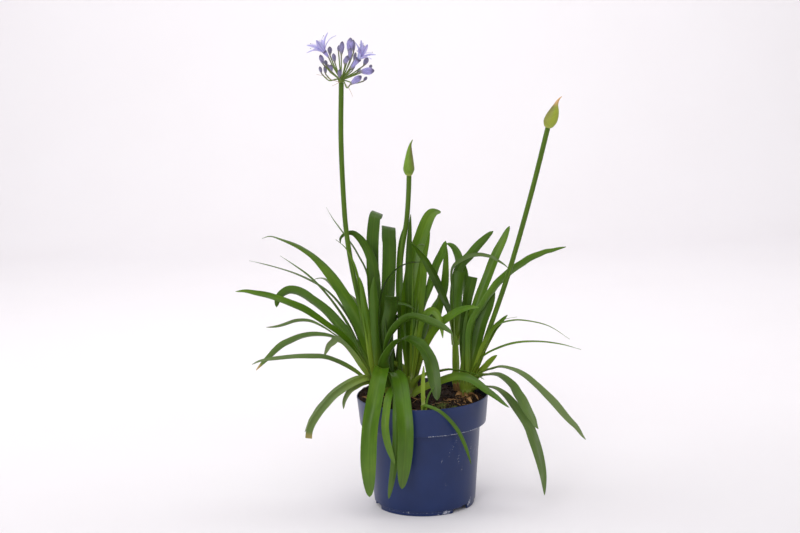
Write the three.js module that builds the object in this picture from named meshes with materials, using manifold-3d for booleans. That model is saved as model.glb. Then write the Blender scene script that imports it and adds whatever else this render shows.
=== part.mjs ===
// Agapanthus growing in a round plastic nursery pot.
// Millimetres, +Z up. The origin is on the surface that the pot stands on, at the centre of its base.
// +X is to the right and -Y is the front.

import * as THREE from 'three';
import { mergeVertices } from 'three/addons/utils/BufferGeometryUtils.js';
import Module from 'manifold-3d';

// Pot
const POT_HEIGHT = 162;
const RIM_RADIUS = 95;
const BAND_HEIGHT = 40.5;
const BAND_FOOT_RADIUS = 91;
const SHOULDER_RADIUS = 82.6;
const SHOULDER_DROP = 1;
const BODY_FOOT_RADIUS = 73.5;
const FOOT_RADIUS = 71.5;
const FOOT_HEIGHT = 7;
const POT_WALL = 1.6;
const BASE_UNDERSIDE = 5;
const CENTRE_FOOT_RADIUS = 14;
const FOOT_RING_WIDTH = 3;
const FOOT_GAPS = 3;
const FIRST_GAP_DEG = -45;
const GAP_WIDTH_DEG = 24;
const DRAIN = { pastGapDeg: 6, width: 11, depth: 10, top: 8.2 };
const POT_SIDES = 36;

// Soil
const SOIL_LEVEL = 154;
const SOIL_FALL_TO_RIGHT = 0.05;
const SOIL_MOUND = { x: -80, y: 35, height: 7, reach: 30 };
const SOIL_DIP = 8;
const CRUMB_HEIGHT = 1.1;
const GROWING_DEPTH = 24;
const HOLE_TOP = POT_HEIGHT + 20;
const ROOT_DEPTH = 14;
const ROOT_RISE = 6;
const ROOT_OFFSET = 0.4;

// Fit between pieces that touch
const GAP = 0.35;

// Leaves and stems
const BLADE_EDGE_THICKNESS = 0.7;
const BLADE_RIB_THICKNESS = 1.3;
const NARROW_WIDTH = 10;
const NARROW_THICKNESS = 0.9;
const CHANNEL_DEPTH = 0.17;
const CHANNEL_FADE = 0.75;
const FOLD_FLATTENING = 1.6;
const RIB_GROWTH = 0.2;
const FACE_CHECKED_AT = 0.6;
const BLUNT_RING = 0.4;
const SHEATH_SHARE = 0.68;
const FULL_WIDTH_AT = 0.45;
const STEM_RADIUS = 3.6;
const STEM_SIDES = 8;

// Flower head
const FLOWER_STALK_RADIUS = 0.9;
const HUB_RADIUS = 4.6;
const HUB_HEIGHT = 6;
const TEPAL_WIDTH = 7.5;

const wasm = await Module();
wasm.setup();

function solid(geometry) {
  const bare = geometry.clone();
  bare.deleteAttribute('normal');
  bare.deleteAttribute('uv');
  const merged = mergeVertices(bare, 1e-4);
  const vertProperties = new Float32Array(merged.attributes.position.array);
  const triVerts = new Uint32Array(merged.index.array);
  return new wasm.Manifold(new wasm.Mesh({ numProp: 3, vertProperties, triVerts }));
}

function joined(geometries) {
  let body = solid(geometries[0]);
  for (const geometry of geometries.slice(1)) {
    body = body.add(solid(geometry));
  }
  return body;
}

// A fused body's largest piece: this fills any hollow that fusing sealed and drops loose scraps.
function wholeBody(body) {
  const pieces = body.decompose();
  return pieces.reduce((best, piece) => (piece.volume() > best.volume() ? piece : best));
}

function geometryOf(body) {
  const mesh = body.getMesh();
  const geometry = new THREE.BufferGeometry();
  geometry.setAttribute('position', new THREE.BufferAttribute(mesh.vertProperties, 3));
  geometry.setIndex(new THREE.BufferAttribute(mesh.triVerts, 1));
  return geometry;
}

function finish(color, roughness) {
  return new THREE.MeshStandardMaterial({ color, roughness, metalness: 0 });
}

function turned(profile, sides) {
  const points = profile.map(([radius, height]) => new THREE.Vector2(radius, height));
  return new THREE.LatheGeometry(points, sides).rotateX(Math.PI / 2);
}

function rounded(radius, sides) {
  const outline = new THREE.Shape();
  for (let i = 0; i < sides; i += 1) {
    const angle = (2 * Math.PI * i) / sides;
    outline.lineTo(radius * Math.cos(angle), radius * Math.sin(angle));
  }
  return outline;
}

function curveThrough(points) {
  const places = points.map((point) => new THREE.Vector3(...point));
  return new THREE.CatmullRomCurve3(places, false, 'centripetal');
}

function rod(points, radius, sides, steps) {
  const options = { steps, bevelEnabled: false, extrudePath: curveThrough(points) };
  return new THREE.ExtrudeGeometry(rounded(radius, sides), options);
}

// How a blade narrows: the share of its length where its tip begins, and how bluntly it ends.
const TIP_SHAPES = {
  long: { start: 0.35, power: 0.95, blunt: false },
  pointed: { start: 0.55, power: 0.65, blunt: false },
  round: { start: 0.74, power: 0.5, blunt: true },
  fold: { start: 0.74, power: 0.5, blunt: true },
  cut: { start: 1, power: 1, blunt: false },
};

// How wide a blade is at a share of its length, as a share of its full width.
function bladeShare(along, tip) {
  const grown = Math.sin((Math.PI / 2) * Math.min(along / FULL_WIDTH_AT, 1));
  const rise = SHEATH_SHARE + (1 - SHEATH_SHARE) * grown;
  const { start, power } = TIP_SHAPES[tip];
  if (along <= start) {
    return rise;
  }
  const past = (along - start) / (1 - start);
  return rise * (1 - past * past) ** power;
}

// The depth of a blade's channel, as a share of its width. It fades out towards the tip, sooner
// in a blade that folds over.
function channelDepth(along, tip) {
  const flattened = tip === 'fold' ? FOLD_FLATTENING * along : CHANNEL_FADE * along ** 2;
  return CHANNEL_DEPTH * Math.max(1 - flattened, 0);
}

// The stations of a blade: at its path's points, and one more on a blunt tip's last stretch.
function stations(curve, count, tip) {
  const shares = Array.from({ length: count }, (_, i) => i / (count - 1));
  if (TIP_SHAPES[tip].blunt) {
    shares.splice(count - 1, 0, 1 - BLUNT_RING / (count - 1));
  }
  const places = shares.map((share) => (
    { at: curve.getPoint(share), along: curve.getTangent(share), reached: 0 }
  ));
  for (let i = 1; i < places.length; i += 1) {
    places[i].reached = places[i - 1].reached + places[i].at.distanceTo(places[i - 1].at);
  }
  const length = places.at(-1).reached;
  return places.map((place) => ({ ...place, share: place.reached / length }));
}

// A closed skin over rings of equal size, with its two ends filled by the triangles listed in cap.
// Between two rings the pairs of edges in mirrored are cut along the other diagonal.
function skin(positions, corners, rings, cap, mirrored) {
  const index = [];
  for (let i = 0; i < rings - 1; i += 1) {
    for (let k = 0; k < corners; k += 1) {
      const a = i * corners + k;
      const b = i * corners + ((k + 1) % corners);
      const c = b + corners;
      const d = a + corners;
      index.push(...(mirrored.includes(k) ? [a, d, b, b, d, c] : [a, c, b, a, d, c]));
    }
  }
  const last = (rings - 1) * corners;
  for (const [a, b, c] of cap) {
    index.push(a, b, c, last + a, last + c, last + b);
  }
  const geometry = new THREE.BufferGeometry();
  geometry.setAttribute('position', new THREE.BufferAttribute(new Float32Array(positions), 3));
  geometry.setIndex(index);
  return geometry;
}

// A blade's section for a half width: corners in order, the triangles that fill it, and which edges
// belong to the underside. A wide leaf is a shallow V, a narrow leaf or a petal is flat.
const CHANNELLED = {
  corners: (half, depth) => {
    const edge = half * depth;
    const rib = Math.min(BLADE_RIB_THICKNESS, BLADE_EDGE_THICKNESS + half * RIB_GROWTH);
    const under = edge - BLADE_EDGE_THICKNESS;
    return [[-half, edge], [0, -edge], [half, edge], [half, under], [0, -edge - rib], [-half, under]];
  },
  cap: [[0, 4, 5], [0, 1, 4], [1, 3, 4], [1, 2, 3]],
  underside: [3, 4],
};
const FLAT = {
  corners: (half) => [[-half, 0], [half, 0], [half, -NARROW_THICKNESS], [-half, -NARROW_THICKNESS]],
  cap: [[0, 2, 3], [0, 1, 2]],
  underside: [2],
};

function sectionPoints(corners, at, wide, face) {
  return corners.flatMap(([sideways, up]) => [
    ...at.clone().addScaledVector(wide, sideways).addScaledVector(face, up),
  ]);
}

// A strap leaf along a curve. It narrows into a sheath at the root.
function blade({ path, width, side, turn = 0, tip = 'pointed' }) {
  const places = stations(curveThrough(path), path.length, tip);
  const start = THREE.MathUtils.degToRad(side);
  const across = new THREE.Vector3(Math.cos(start), Math.sin(start), 0);
  const frames = places.map(({ at, along, share }) => {
    across.addScaledVector(along, -across.dot(along)).normalize();
    const face = new THREE.Vector3().crossVectors(along, across);
    return { at, along, share, wide: across.clone(), face };
  });
  const checked = frames[Math.round(FACE_CHECKED_AT * (frames.length - 1))];
  const upward = checked.face.z >= 0 ? 1 : -1;
  const section = width > NARROW_WIDTH ? CHANNELLED : FLAT;
  const positions = frames.flatMap(({ at, along, share, wide, face }) => {
    const twist = THREE.MathUtils.degToRad(turn * share);
    wide.applyAxisAngle(along, twist).multiplyScalar(upward);
    face.applyAxisAngle(along, twist).multiplyScalar(upward);
    const half = Math.max((width / 2) * bladeShare(share, tip), BLADE_EDGE_THICKNESS);
    return sectionPoints(section.corners(half, channelDepth(share, tip)), at, wide, face);
  });
  return skin(positions, section.corners(1, 0).length, frames.length, section.cap, section.underside);
}

// ---------------------------------------------------------------- pot

const FLOOR_HEIGHT = BASE_UNDERSIDE + POT_WALL;
const CORNER_HEIGHT = FOOT_HEIGHT + 2;

const BAND_FOOT = POT_HEIGHT - BAND_HEIGHT;
const SHOULDER = BAND_FOOT - SHOULDER_DROP;
const LEDGE_TOP = BAND_FOOT + POT_WALL;
const LEDGE_FOOT = SHOULDER + POT_WALL;

function innerRadius(height) {
  const along = (low, high, from, to) => from + ((to - from) * (height - low)) / (high - low);
  if (height > LEDGE_TOP) {
    return along(BAND_FOOT, POT_HEIGHT, BAND_FOOT_RADIUS, RIM_RADIUS) - POT_WALL;
  }
  if (height > LEDGE_FOOT) {
    return along(LEDGE_FOOT, LEDGE_TOP, SHOULDER_RADIUS, BAND_FOOT_RADIUS) - POT_WALL;
  }
  return along(FOOT_HEIGHT, SHOULDER, BODY_FOOT_RADIUS, SHOULDER_RADIUS) - POT_WALL;
}

function pot() {
  const ringInside = FOOT_RADIUS - FOOT_RING_WIDTH;
  let body = solid(turned([
    [0, 0], [CENTRE_FOOT_RADIUS, 0], [CENTRE_FOOT_RADIUS + 3, BASE_UNDERSIDE],
    [ringInside, BASE_UNDERSIDE], [ringInside, 0], [FOOT_RADIUS, 0], [FOOT_RADIUS, FOOT_HEIGHT],
    [BODY_FOOT_RADIUS, FOOT_HEIGHT], [SHOULDER_RADIUS, SHOULDER], [BAND_FOOT_RADIUS, BAND_FOOT],
    [RIM_RADIUS, POT_HEIGHT - 1], [RIM_RADIUS - 0.6, POT_HEIGHT], [RIM_RADIUS - POT_WALL, POT_HEIGHT],
    [innerRadius(LEDGE_TOP), LEDGE_TOP], [innerRadius(LEDGE_FOOT), LEDGE_FOOT],
    [innerRadius(CORNER_HEIGHT), CORNER_HEIGHT], [FOOT_RADIUS - POT_WALL, FLOOR_HEIGHT],
    [0, FLOOR_HEIGHT],
  ], POT_SIDES));
  const gapWidth = 2 * FOOT_RADIUS * Math.sin(THREE.MathUtils.degToRad(GAP_WIDTH_DEG / 2));
  for (let i = 0; i < FOOT_GAPS; i += 1) {
    const middle = THREE.MathUtils.degToRad(FIRST_GAP_DEG + (360 * i) / FOOT_GAPS);
    const gap = new THREE.BoxGeometry(6 * FOOT_RING_WIDTH, gapWidth, 2 * BASE_UNDERSIDE);
    gap.translate(FOOT_RADIUS, 0, 0).rotateZ(middle);
    const drain = new THREE.BoxGeometry(DRAIN.depth, DRAIN.width, 2 * DRAIN.top);
    drain.translate(FOOT_RADIUS, 0, 0).rotateZ(middle + THREE.MathUtils.degToRad(DRAIN.pastGapDeg));
    body = body.subtract(solid(gap)).subtract(solid(drain));
  }
  return geometryOf(body);
}

// ---------------------------------------------------------------- soil

function soilHeight(x, y) {
  const fromMound = (x - SOIL_MOUND.x) ** 2 + (y - SOIL_MOUND.y) ** 2;
  const mound = SOIL_MOUND.height * Math.exp(-fromMound / (2 * SOIL_MOUND.reach ** 2));
  const fine = Math.sin(x * 0.31 + 1.3) * Math.cos(y * 0.27);
  const broad = Math.sin(x * 0.13 + y * 0.22);
  return SOIL_LEVEL - SOIL_FALL_TO_RIGHT * x + mound + CRUMB_HEIGHT * (fine + broad);
}

const SOIL_RINGS = 5;
const SOIL_SIDES = 30;

function soilBody() {
  const bottom = FLOOR_HEIGHT + GAP;
  const positions = [0, 0, soilHeight(0, 0)];
  const ringPoint = (angle, radius, height) => {
    positions.push(radius * Math.cos(angle), radius * Math.sin(angle), height);
  };
  const eachAngle = (use) => {
    for (let i = 0; i < SOIL_SIDES; i += 1) {
      use((2 * Math.PI * i) / SOIL_SIDES);
    }
  };
  for (let ring = 1; ring <= SOIL_RINGS; ring += 1) {
    eachAngle((angle) => {
      const radius = ((innerRadius(SOIL_LEVEL - SOIL_DIP) - 2 * GAP) * ring) / SOIL_RINGS;
      ringPoint(angle, radius, soilHeight(radius * Math.cos(angle), radius * Math.sin(angle)));
    });
  }
  const wall = [LEDGE_TOP, LEDGE_FOOT, CORNER_HEIGHT].map((height) => [innerRadius(height), height + GAP]);
  for (const [radius, height] of [...wall, [FOOT_RADIUS - POT_WALL, bottom]]) {
    eachAngle((angle) => ringPoint(angle, radius - 2 * GAP, height));
  }
  positions.push(0, 0, bottom);
  const index = [];
  const rows = SOIL_RINGS + wall.length + 1;
  const end = 1 + rows * SOIL_SIDES;
  for (let i = 0; i < SOIL_SIDES; i += 1) {
    const next = (i + 1) % SOIL_SIDES;
    index.push(0, 1 + i, 1 + next);
    for (let row = 0; row < rows - 1; row += 1) {
      const a = 1 + row * SOIL_SIDES + i;
      const b = 1 + row * SOIL_SIDES + next;
      index.push(a, a + SOIL_SIDES, b, b, a + SOIL_SIDES, b + SOIL_SIDES);
    }
    index.push(end - SOIL_SIDES + i, end, end - SOIL_SIDES + next);
  }
  const geometry = new THREE.BufferGeometry();
  geometry.setAttribute('position', new THREE.BufferAttribute(new Float32Array(positions), 3));
  geometry.setIndex(index);
  return solid(geometry);
}

// ---------------------------------------------------------------- leafy shoots

// Each shoot: where its stalk of leaf bases stands, the stalk's half width and half depth, and how
// high it reaches. Each leaf: its path from the stalk to its tip, its full width, and side, the
// direction in degrees in which the blade's width runs where it leaves the stalk. Turn is how far
// in degrees the blade twists about its own length by the tip.
const SHOOTS = [
  {
    name: 'shoot_left', foot: [-66, 34], wide: 11, deep: 7, top: 186,
    leaves: [
      { width: 20, side: 20, turn: -90, tip: 'long',
        path: [[-73, 36, 210], [-88, 39, 259], [-99, 40, 282], [-121, 43, 321], [-143, 46, 349],
          [-177, 50, 375], [-215, 53, 389], [-227, 54, 386]] },
      { width: 9, side: 80, tip: 'long',
        path: [[-81, 40, 204], [-100, 46, 259], [-131, 54, 303], [-174, 62, 329], [-248, 72, 351]] },
      { width: 9, side: 80, tip: 'long',
        path: [[-82, 32, 206], [-102, 28, 255], [-130, 22, 302], [-157, 16, 335], [-198, 8, 368]] },
      { width: 11, side: 60,
        path: [[-83, 50, 229], [-104, 58, 277], [-125, 67, 308], [-138, 75, 320], [-144, 80, 321],
          [-156, 88, 317]] },
      { width: 17, side: 168, turn: -30, tip: 'round',
        path: [[-85, 34, 207], [-110, 36, 249], [-134, 38, 278], [-168, 42, 305], [-190, 44, 311],
          [-206, 46, 299], [-209, 48, 285]] },
      { width: 14, side: 80, turn: -30,
        path: [[-85, 30, 205], [-100, 27, 229], [-117, 24, 248], [-167, 15, 288], [-219, 5, 312],
          [-250, -1, 320], [-263, -4, 320]] },
      { width: 8, side: 28, turn: 138,
        path: [[-87, 40, 202], [-118, 41, 238], [-159, 43, 264], [-183, 44, 265], [-225, 46, 256]] },
      { width: 12, side: 68, turn: 108,
        path: [[-85, 46, 198], [-114, 49, 230], [-130, 50, 239], [-161, 53, 242], [-177, 54, 239],
          [-204, 57, 227], [-244, 62, 188]] },
      { width: 9.5, side: 60,
        path: [[-84, 20, 183], [-109, 15, 203], [-141, 10, 218], [-204, 2, 220], [-234, -3, 217],
          [-244, -6, 213]] },
      { width: 12, side: 0, turn: -30,
        path: [[-85, 30, 198], [-96, 32, 216], [-116, 35, 237], [-123, 37, 238], [-134, 40, 228],
          [-142, 44, 211]] },
      { width: 10, side: 62, tip: 'cut',
        path: [[-78, 10, 185], [-103, 3, 178], [-128, -5, 163], [-156, -19, 132], [-165, -30, 108]] },
      { width: 8, side: 80,
        path: [[-80, 16, 185], [-96, 13, 184], [-125, 7, 169], [-151, -2, 145], [-171, -14, 113]] },
      { width: 8, side: 50,
        path: [[-77, 22, 176], [-86, 20, 175], [-104, 16, 166], [-114, 13, 149], [-115, 11, 139]] },
      { width: 8, side: 75, tip: 'long',
        path: [[-67, 40, 227], [-69, 44, 299], [-78, 47, 340], [-94, 51, 371], [-132, 58, 429]] },
      { width: 17, side: 20, turn: -60,
        path: [[-65, 30, 251], [-65, 30, 337], [-73, 29, 369], [-86, 29, 389], [-94, 29, 395],
          [-108, 28, 392], [-112, 28, 387], [-112, 28, 380]] },
      { width: 13, side: 40,
        path: [[-73, 14, 225], [-75, 12, 252], [-81, 7, 301], [-83, 4, 320], [-86, 2, 335]] },
      { width: 17, side: 10,
        path: [[-65, 16, 223], [-66, 13, 312], [-65, 12, 333]] },
      { width: 18, side: 10, tip: 'fold',
        path: [[-65, 26, 237], [-67, 38, 346], [-64, 50, 401], [-62, 58, 413], [-59, 72, 417],
          [-56, 90, 413], [-55, 105, 402]] },
      { width: 6, side: 40, tip: 'long',
        path: [[-69, 20, 201], [-77, 8, 256], [-92, 5, 351], [-104, 5, 377], [-118, 5, 390]] },
      { width: 11, side: 60, tip: 'round',
        path: [[-80, 60, 237], [-88, 70, 266], [-95, 80, 286], [-103, 90, 294]] },
    ],
  },
  {
    name: 'shoot_centre_left', foot: [-46, 16], wide: 10, deep: 6, top: 180,
    leaves: [
      { width: 20, side: 0, turn: 14, tip: 'fold',
        path: [[-50, 24, 260], [-45, 29, 318], [-42, 44, 388], [-42, 52, 397], [-43, 66, 397],
          [-45, 90, 386], [-50, 112, 363]] },
      { width: 19, side: 0, tip: 'cut',
        path: [[-49, 8, 255], [-43, -5, 284], [-41, -20, 303], [-40, -38, 314]] },
      { width: 7, side: 100,
        path: [[-59, 8, 241], [-59, 6, 285], [-51, 8, 321], [-35, 10, 342], [-16, 12, 352],
          [6, 12, 353]] },
      { width: 12, side: 160, turn: -110, tip: 'round',
        path: [[-51, 6, 271], [-47, 3, 287], [-42, -1, 295], [-20, -11, 296], [-8, -18, 289]] },
      { width: 16, side: 112, turn: -150,
        path: [[-52, 4, 222], [-47, -1, 244], [-38, -5, 260], [-18, -14, 278], [-8, -19, 280],
          [13, -28, 275], [34, -37, 266], [45, -46, 257]] },
      { width: 20, side: 0, turn: 130, tip: 'round',
        path: [[-54, 0, 209], [-40, -9, 237], [-30, -13, 246], [-20, -18, 248], [-3, -27, 242],
          [13, -40, 216], [20, -58, 166]] },
      { width: 23, side: -20, tip: 'round',
        path: [[-52, 12, 188], [-56, -10, 205], [-61, -45, 198], [-68, -68, 172], [-75, -80, 139],
          [-79, -86, 90], [-79, -84, 35]] },
      { width: 11, side: -10, tip: 'round',
        path: [[-44, -10, 169], [-39, -40, 183], [-48, -72, 178], [-52, -94, 161], [-54, -101, 140],
          [-50, -104, 113], [-42, -104, 88]] },
      { width: 11, side: 0, tip: 'round',
        path: [[-45, 0, 189], [-39, -42, 186], [-37, -80, 174], [-38, -97, 154], [-43, -99, 85],
          [-52, -97, 36]] },
      { width: 22, side: 15, tip: 'round',
        path: [[-48, 6, 186], [-43, -12, 199], [-34, -42, 198], [-30, -72, 186], [-28, -94, 170],
          [-26, -106, 145], [-27, -110, 110], [-33, -108, 53]] },
    ],
  },
  {
    name: 'shoot_old', foot: [-35, 55], wide: 8, deep: 6, top: 176,
    leaves: [
      { width: 12, side: 60,
        path: [[-40, 50, 201], [-42, 45, 240], [-35, 40, 266], [-23, 36, 284]] },
      { width: 12, side: 120,
        path: [[-34, 52, 197], [-30, 50, 231], [-25, 48, 254], [-20, 50, 290]] },
      { width: 12, side: 70,
        path: [[-46, 50, 198], [-51, 50, 239], [-52, 55, 290]] },
      { width: 9, side: 20, tip: 'round',
        path: [[-27, 44, 190], [-39, 38, 198], [-49, 35, 196]] },
    ],
  },
  {
    name: 'shoot_middle', foot: [-16, 20], wide: 9, deep: 6, top: 184,
    leaves: [
      { width: 17, side: 60, turn: 90, tip: 'round',
        path: [[-3, 24, 254], [7, 30, 289], [17, 35, 317], [24, 41, 339], [28, 44, 348], [33, 46, 357],
          [40, 52, 376]] },
      { width: 12, side: 30,
        path: [[-17, 22, 237], [-15, 28, 346], [-10, 32, 419]] },
      { width: 20, side: 0, turn: 12, tip: 'round',
        path: [[-17, 30, 294], [-3, 48, 364], [8, 60, 391], [19, 76, 411], [25, 86, 414],
          [35, 100, 412]] },
      { width: 12, side: 20,
        path: [[-3, 26, 268], [4, 30, 316], [7, 34, 349], [17, 42, 393]] },
      { width: 6, side: 60,
        path: [[0, 40, 277], [7, 48, 334], [8, 52, 371], [-5, 52, 369]] },
      { width: 6, side: 30,
        path: [[-13, 22, 229], [-5, 20, 299]] },
      { width: 11, side: 30, turn: 40,
        path: [[-12, 9, 173], [-6, 7, 182], [3, 4, 188], [39, -4, 198], [65, -9, 195], [89, -14, 184]] },
      { width: 11.5, side: 104,
        path: [[-3, 4, 167], [43, -8, 187], [63, -15, 188], [82, -21, 178], [123, -36, 147]] },
      { width: 15, side: 118, turn: 10,
        path: [[-7, 16, 195], [5, 10, 228], [29, 2, 265], [52, -4, 282], [64, -6, 287], [83, -12, 289]] },
      { width: 12, side: 100, turn: 50,
        path: [[-4, 12, 230], [3, 6, 268], [10, 2, 280], [17, -1, 284], [24, -4, 279], [31, -14, 246]] },
      { width: 11, side: 30,
        path: [[-3, 20, 222], [11, 22, 266], [20, 24, 286], [27, 26, 299]] },
      { width: 11, side: 10,
        path: [[-24, 24, 244], [-29, 32, 316], [-27, 40, 363], [-21, 48, 397]] },
      { width: 3, side: 10, tip: 'long',
        path: [[-11, 20, 292], [-10, 16, 352]] },
      { width: 14, side: 20,
        path: [[0, 28, 217], [18, 39, 253], [33, 56, 295], [39, 67, 326], [41, 84, 366]] },
      { width: 10, side: 15,
        path: [[-11, 20, 244], [-7, 25, 283], [-1, 34, 322], [4, 44, 356]] },
    ],
  },
  {
    name: 'shoot_back_right', foot: [51, 62], wide: 6, deep: 5, top: 232,
    leaves: [
      { width: 12, side: 92, turn: -120,
        path: [[42, 50, 271], [31, 32, 304], [26, 23, 318], [14, 6, 346], [8, -3, 359], [1, -12, 370],
          [-5, -21, 380], [-11, -30, 388]] },
      { width: 18, side: 72, turn: 90,
        path: [[60, 74, 238], [68, 80, 297], [66, 86, 320], [56, 97, 353], [52, 100, 359],
          [42, 106, 363]] },
      { width: 13, side: 160, tip: 'round',
        path: [[50, 70, 247], [51, 66, 297], [60, 61, 336], [109, 48, 389]] },
      { width: 7, side: 72, turn: 72,
        path: [[49, 60, 279], [48, 51, 333], [53, 48, 342], [61, 45, 348], [80, 40, 356], [97, 34, 356],
          [106, 31, 354], [129, 22, 338]] },
      { width: 17, side: 10, tip: 'cut',
        path: [[52, 68, 232], [54, 62, 263], [54, 60, 286], [56, 60, 309], [59, 62, 329]] },
    ],
  },
  {
    name: 'shoot_right', foot: [62, 30], wide: 10, deep: 6, top: 180,
    leaves: [
      { width: 15, side: 20, tip: 'cut',
        path: [[63, 38, 223], [65, 40, 260], [69, 42, 289], [78, 44, 323]] },
      { width: 14, side: 166, tip: 'round',
        path: [[69, 33, 241], [77, 38, 269], [113, 55, 354], [134, 66, 393]] },
      { width: 13, side: 48, turn: -30,
        path: [[71, 22, 251], [76, 24, 264], [97, 30, 295], [112, 33, 314], [132, 37, 331],
          [167, 45, 351], [215, 54, 362]] },
      { width: 18, side: 165, tip: 'round',
        path: [[72, 30, 197], [84, 35, 241], [90, 38, 260], [103, 43, 293], [107, 46, 307]] },
      { width: 12, side: 138,
        path: [[78, 20, 190], [89, 16, 220], [101, 11, 244], [107, 9, 254], [125, 2, 274]] },
      { width: 3.5, side: 100, tip: 'long',
        path: [[94, 8, 229], [108, 6, 259], [121, 6, 267], [139, 6, 270]] },
      { width: 4, side: 100, tip: 'long',
        path: [[76, 18, 190], [94, 6, 234], [111, 2, 260], [130, 2, 266], [147, 2, 266], [183, 2, 257],
          [214, 2, 236]] },
      { width: 4.5, side: 100, tip: 'long',
        path: [[73, 22, 188], [88, 10, 212], [108, 6, 224], [135, 2, 233], [168, -2, 235],
          [201, -6, 231], [229, -10, 223]] },
      { width: 12, side: 128,
        path: [[81, 20, 181], [97, 8, 203], [109, 0, 216]] },
      { width: 13, side: 30, turn: 100,
        path: [[85, 18, 186], [110, 9, 197], [127, 4, 195], [144, -2, 188], [186, -17, 151],
          [232, -34, 96]] },
      { width: 17, side: 12, turn: 120,
        path: [[84, 16, 182], [110, 7, 185], [126, 1, 175], [165, -24, 111]] },
      { width: 16, side: 18, turn: 120,
        path: [[84, 22, 164], [101, 13, 166], [115, 4, 160], [144, -13, 126], [152, -18, 113],
          [163, -26, 80], [170, -35, 47], [171, -44, 18]] },
      { width: 11, side: 20,
        path: [[60, 29, 181], [64, 26, 211], [66, 23, 256], [68, 22, 282]] },
    ],
  },
  {
    name: 'seedling', foot: [1, -80], wide: 4.5, deep: 4, top: 166,
    leaves: [
      { width: 6, side: 125,
        path: [[1, -88, 166], [10, -98, 167], [24, -104, 161], [44, -97, 137], [57, -83, 107],
          [66, -66, 74]] },
      { width: 6, side: 10,
        path: [[0, -80, 190], [2, -76, 221]] },
      { width: 5, side: 60,
        path: [[7, -76, 176], [16, -70, 190]] },
    ],
  },
];

// A leaf's root stands inside the stalk, a little towards the side that its path leaves by.
function rootOf(shoot, first) {
  const [x, y] = shoot.foot;
  const reach = Math.hypot(first[0] - x, first[1] - y);
  const share = Math.min(1, (ROOT_OFFSET * shoot.deep) / Math.max(reach, 1));
  const height = Math.min(shoot.top - ROOT_DEPTH, first[2] - ROOT_RISE);
  return [x + (first[0] - x) * share, y + (first[1] - y) * share, height];
}

// The stalk of leaf bases: its radii are shares of the half width and half depth.
function stalk(shoot) {
  const shape = turned([
    [0, SOIL_LEVEL - GROWING_DEPTH], [0.9, SOIL_LEVEL - GROWING_DEPTH], [1, SOIL_LEVEL + 4],
    [0.75, shoot.top - 5], [0.4, shoot.top], [0, shoot.top],
  ], 8);
  shape.scale(shoot.wide, shoot.deep, 1);
  return shape.translate(shoot.foot[0], shoot.foot[1], 0);
}

function plantingHole(shoot) {
  const shape = turned([
    [0, SOIL_LEVEL - GROWING_DEPTH - GAP], [1, SOIL_LEVEL - GROWING_DEPTH - GAP],
    [1, HOLE_TOP], [0, HOLE_TOP],
  ], 12);
  shape.scale(shoot.wide + 2 * GAP, shoot.deep + 2 * GAP, 1);
  return solid(shape.translate(shoot.foot[0], shoot.foot[1], 0));
}

function shootBody(shoot) {
  const leaves = shoot.leaves.map((leaf) => {
    const path = [rootOf(shoot, leaf.path[0]), ...leaf.path];
    return blade({ ...leaf, path });
  });
  return joined([stalk(shoot), ...leaves]);
}

// ---------------------------------------------------------------- flower stems, buds and flower head

const STEMS = [
  { name: 'flower_stem_left', steps: 16,
    path: [[-70, 30, 132], [-73, 28, 207], [-84, 24, 275], [-96, 19, 343], [-103, 15, 402],
      [-105, 13, 445], [-106, 11, 531], [-103, 10, 612]] },
  { name: 'flower_stem_middle', steps: 12,
    path: [[-33, 36, 132], [-30, 40, 248], [-26, 40, 352], [-16, 38, 410], [-12, 37, 454],
      [-11, 37, 474]] },
  { name: 'flower_stem_right', steps: 16,
    path: [[70, 43, 132], [79, 40, 180], [89, 34, 216], [110, 24, 277], [125, 17, 322],
      [143, 12, 381], [166, 8, 463], [186, 4, 541]] },
];

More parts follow.
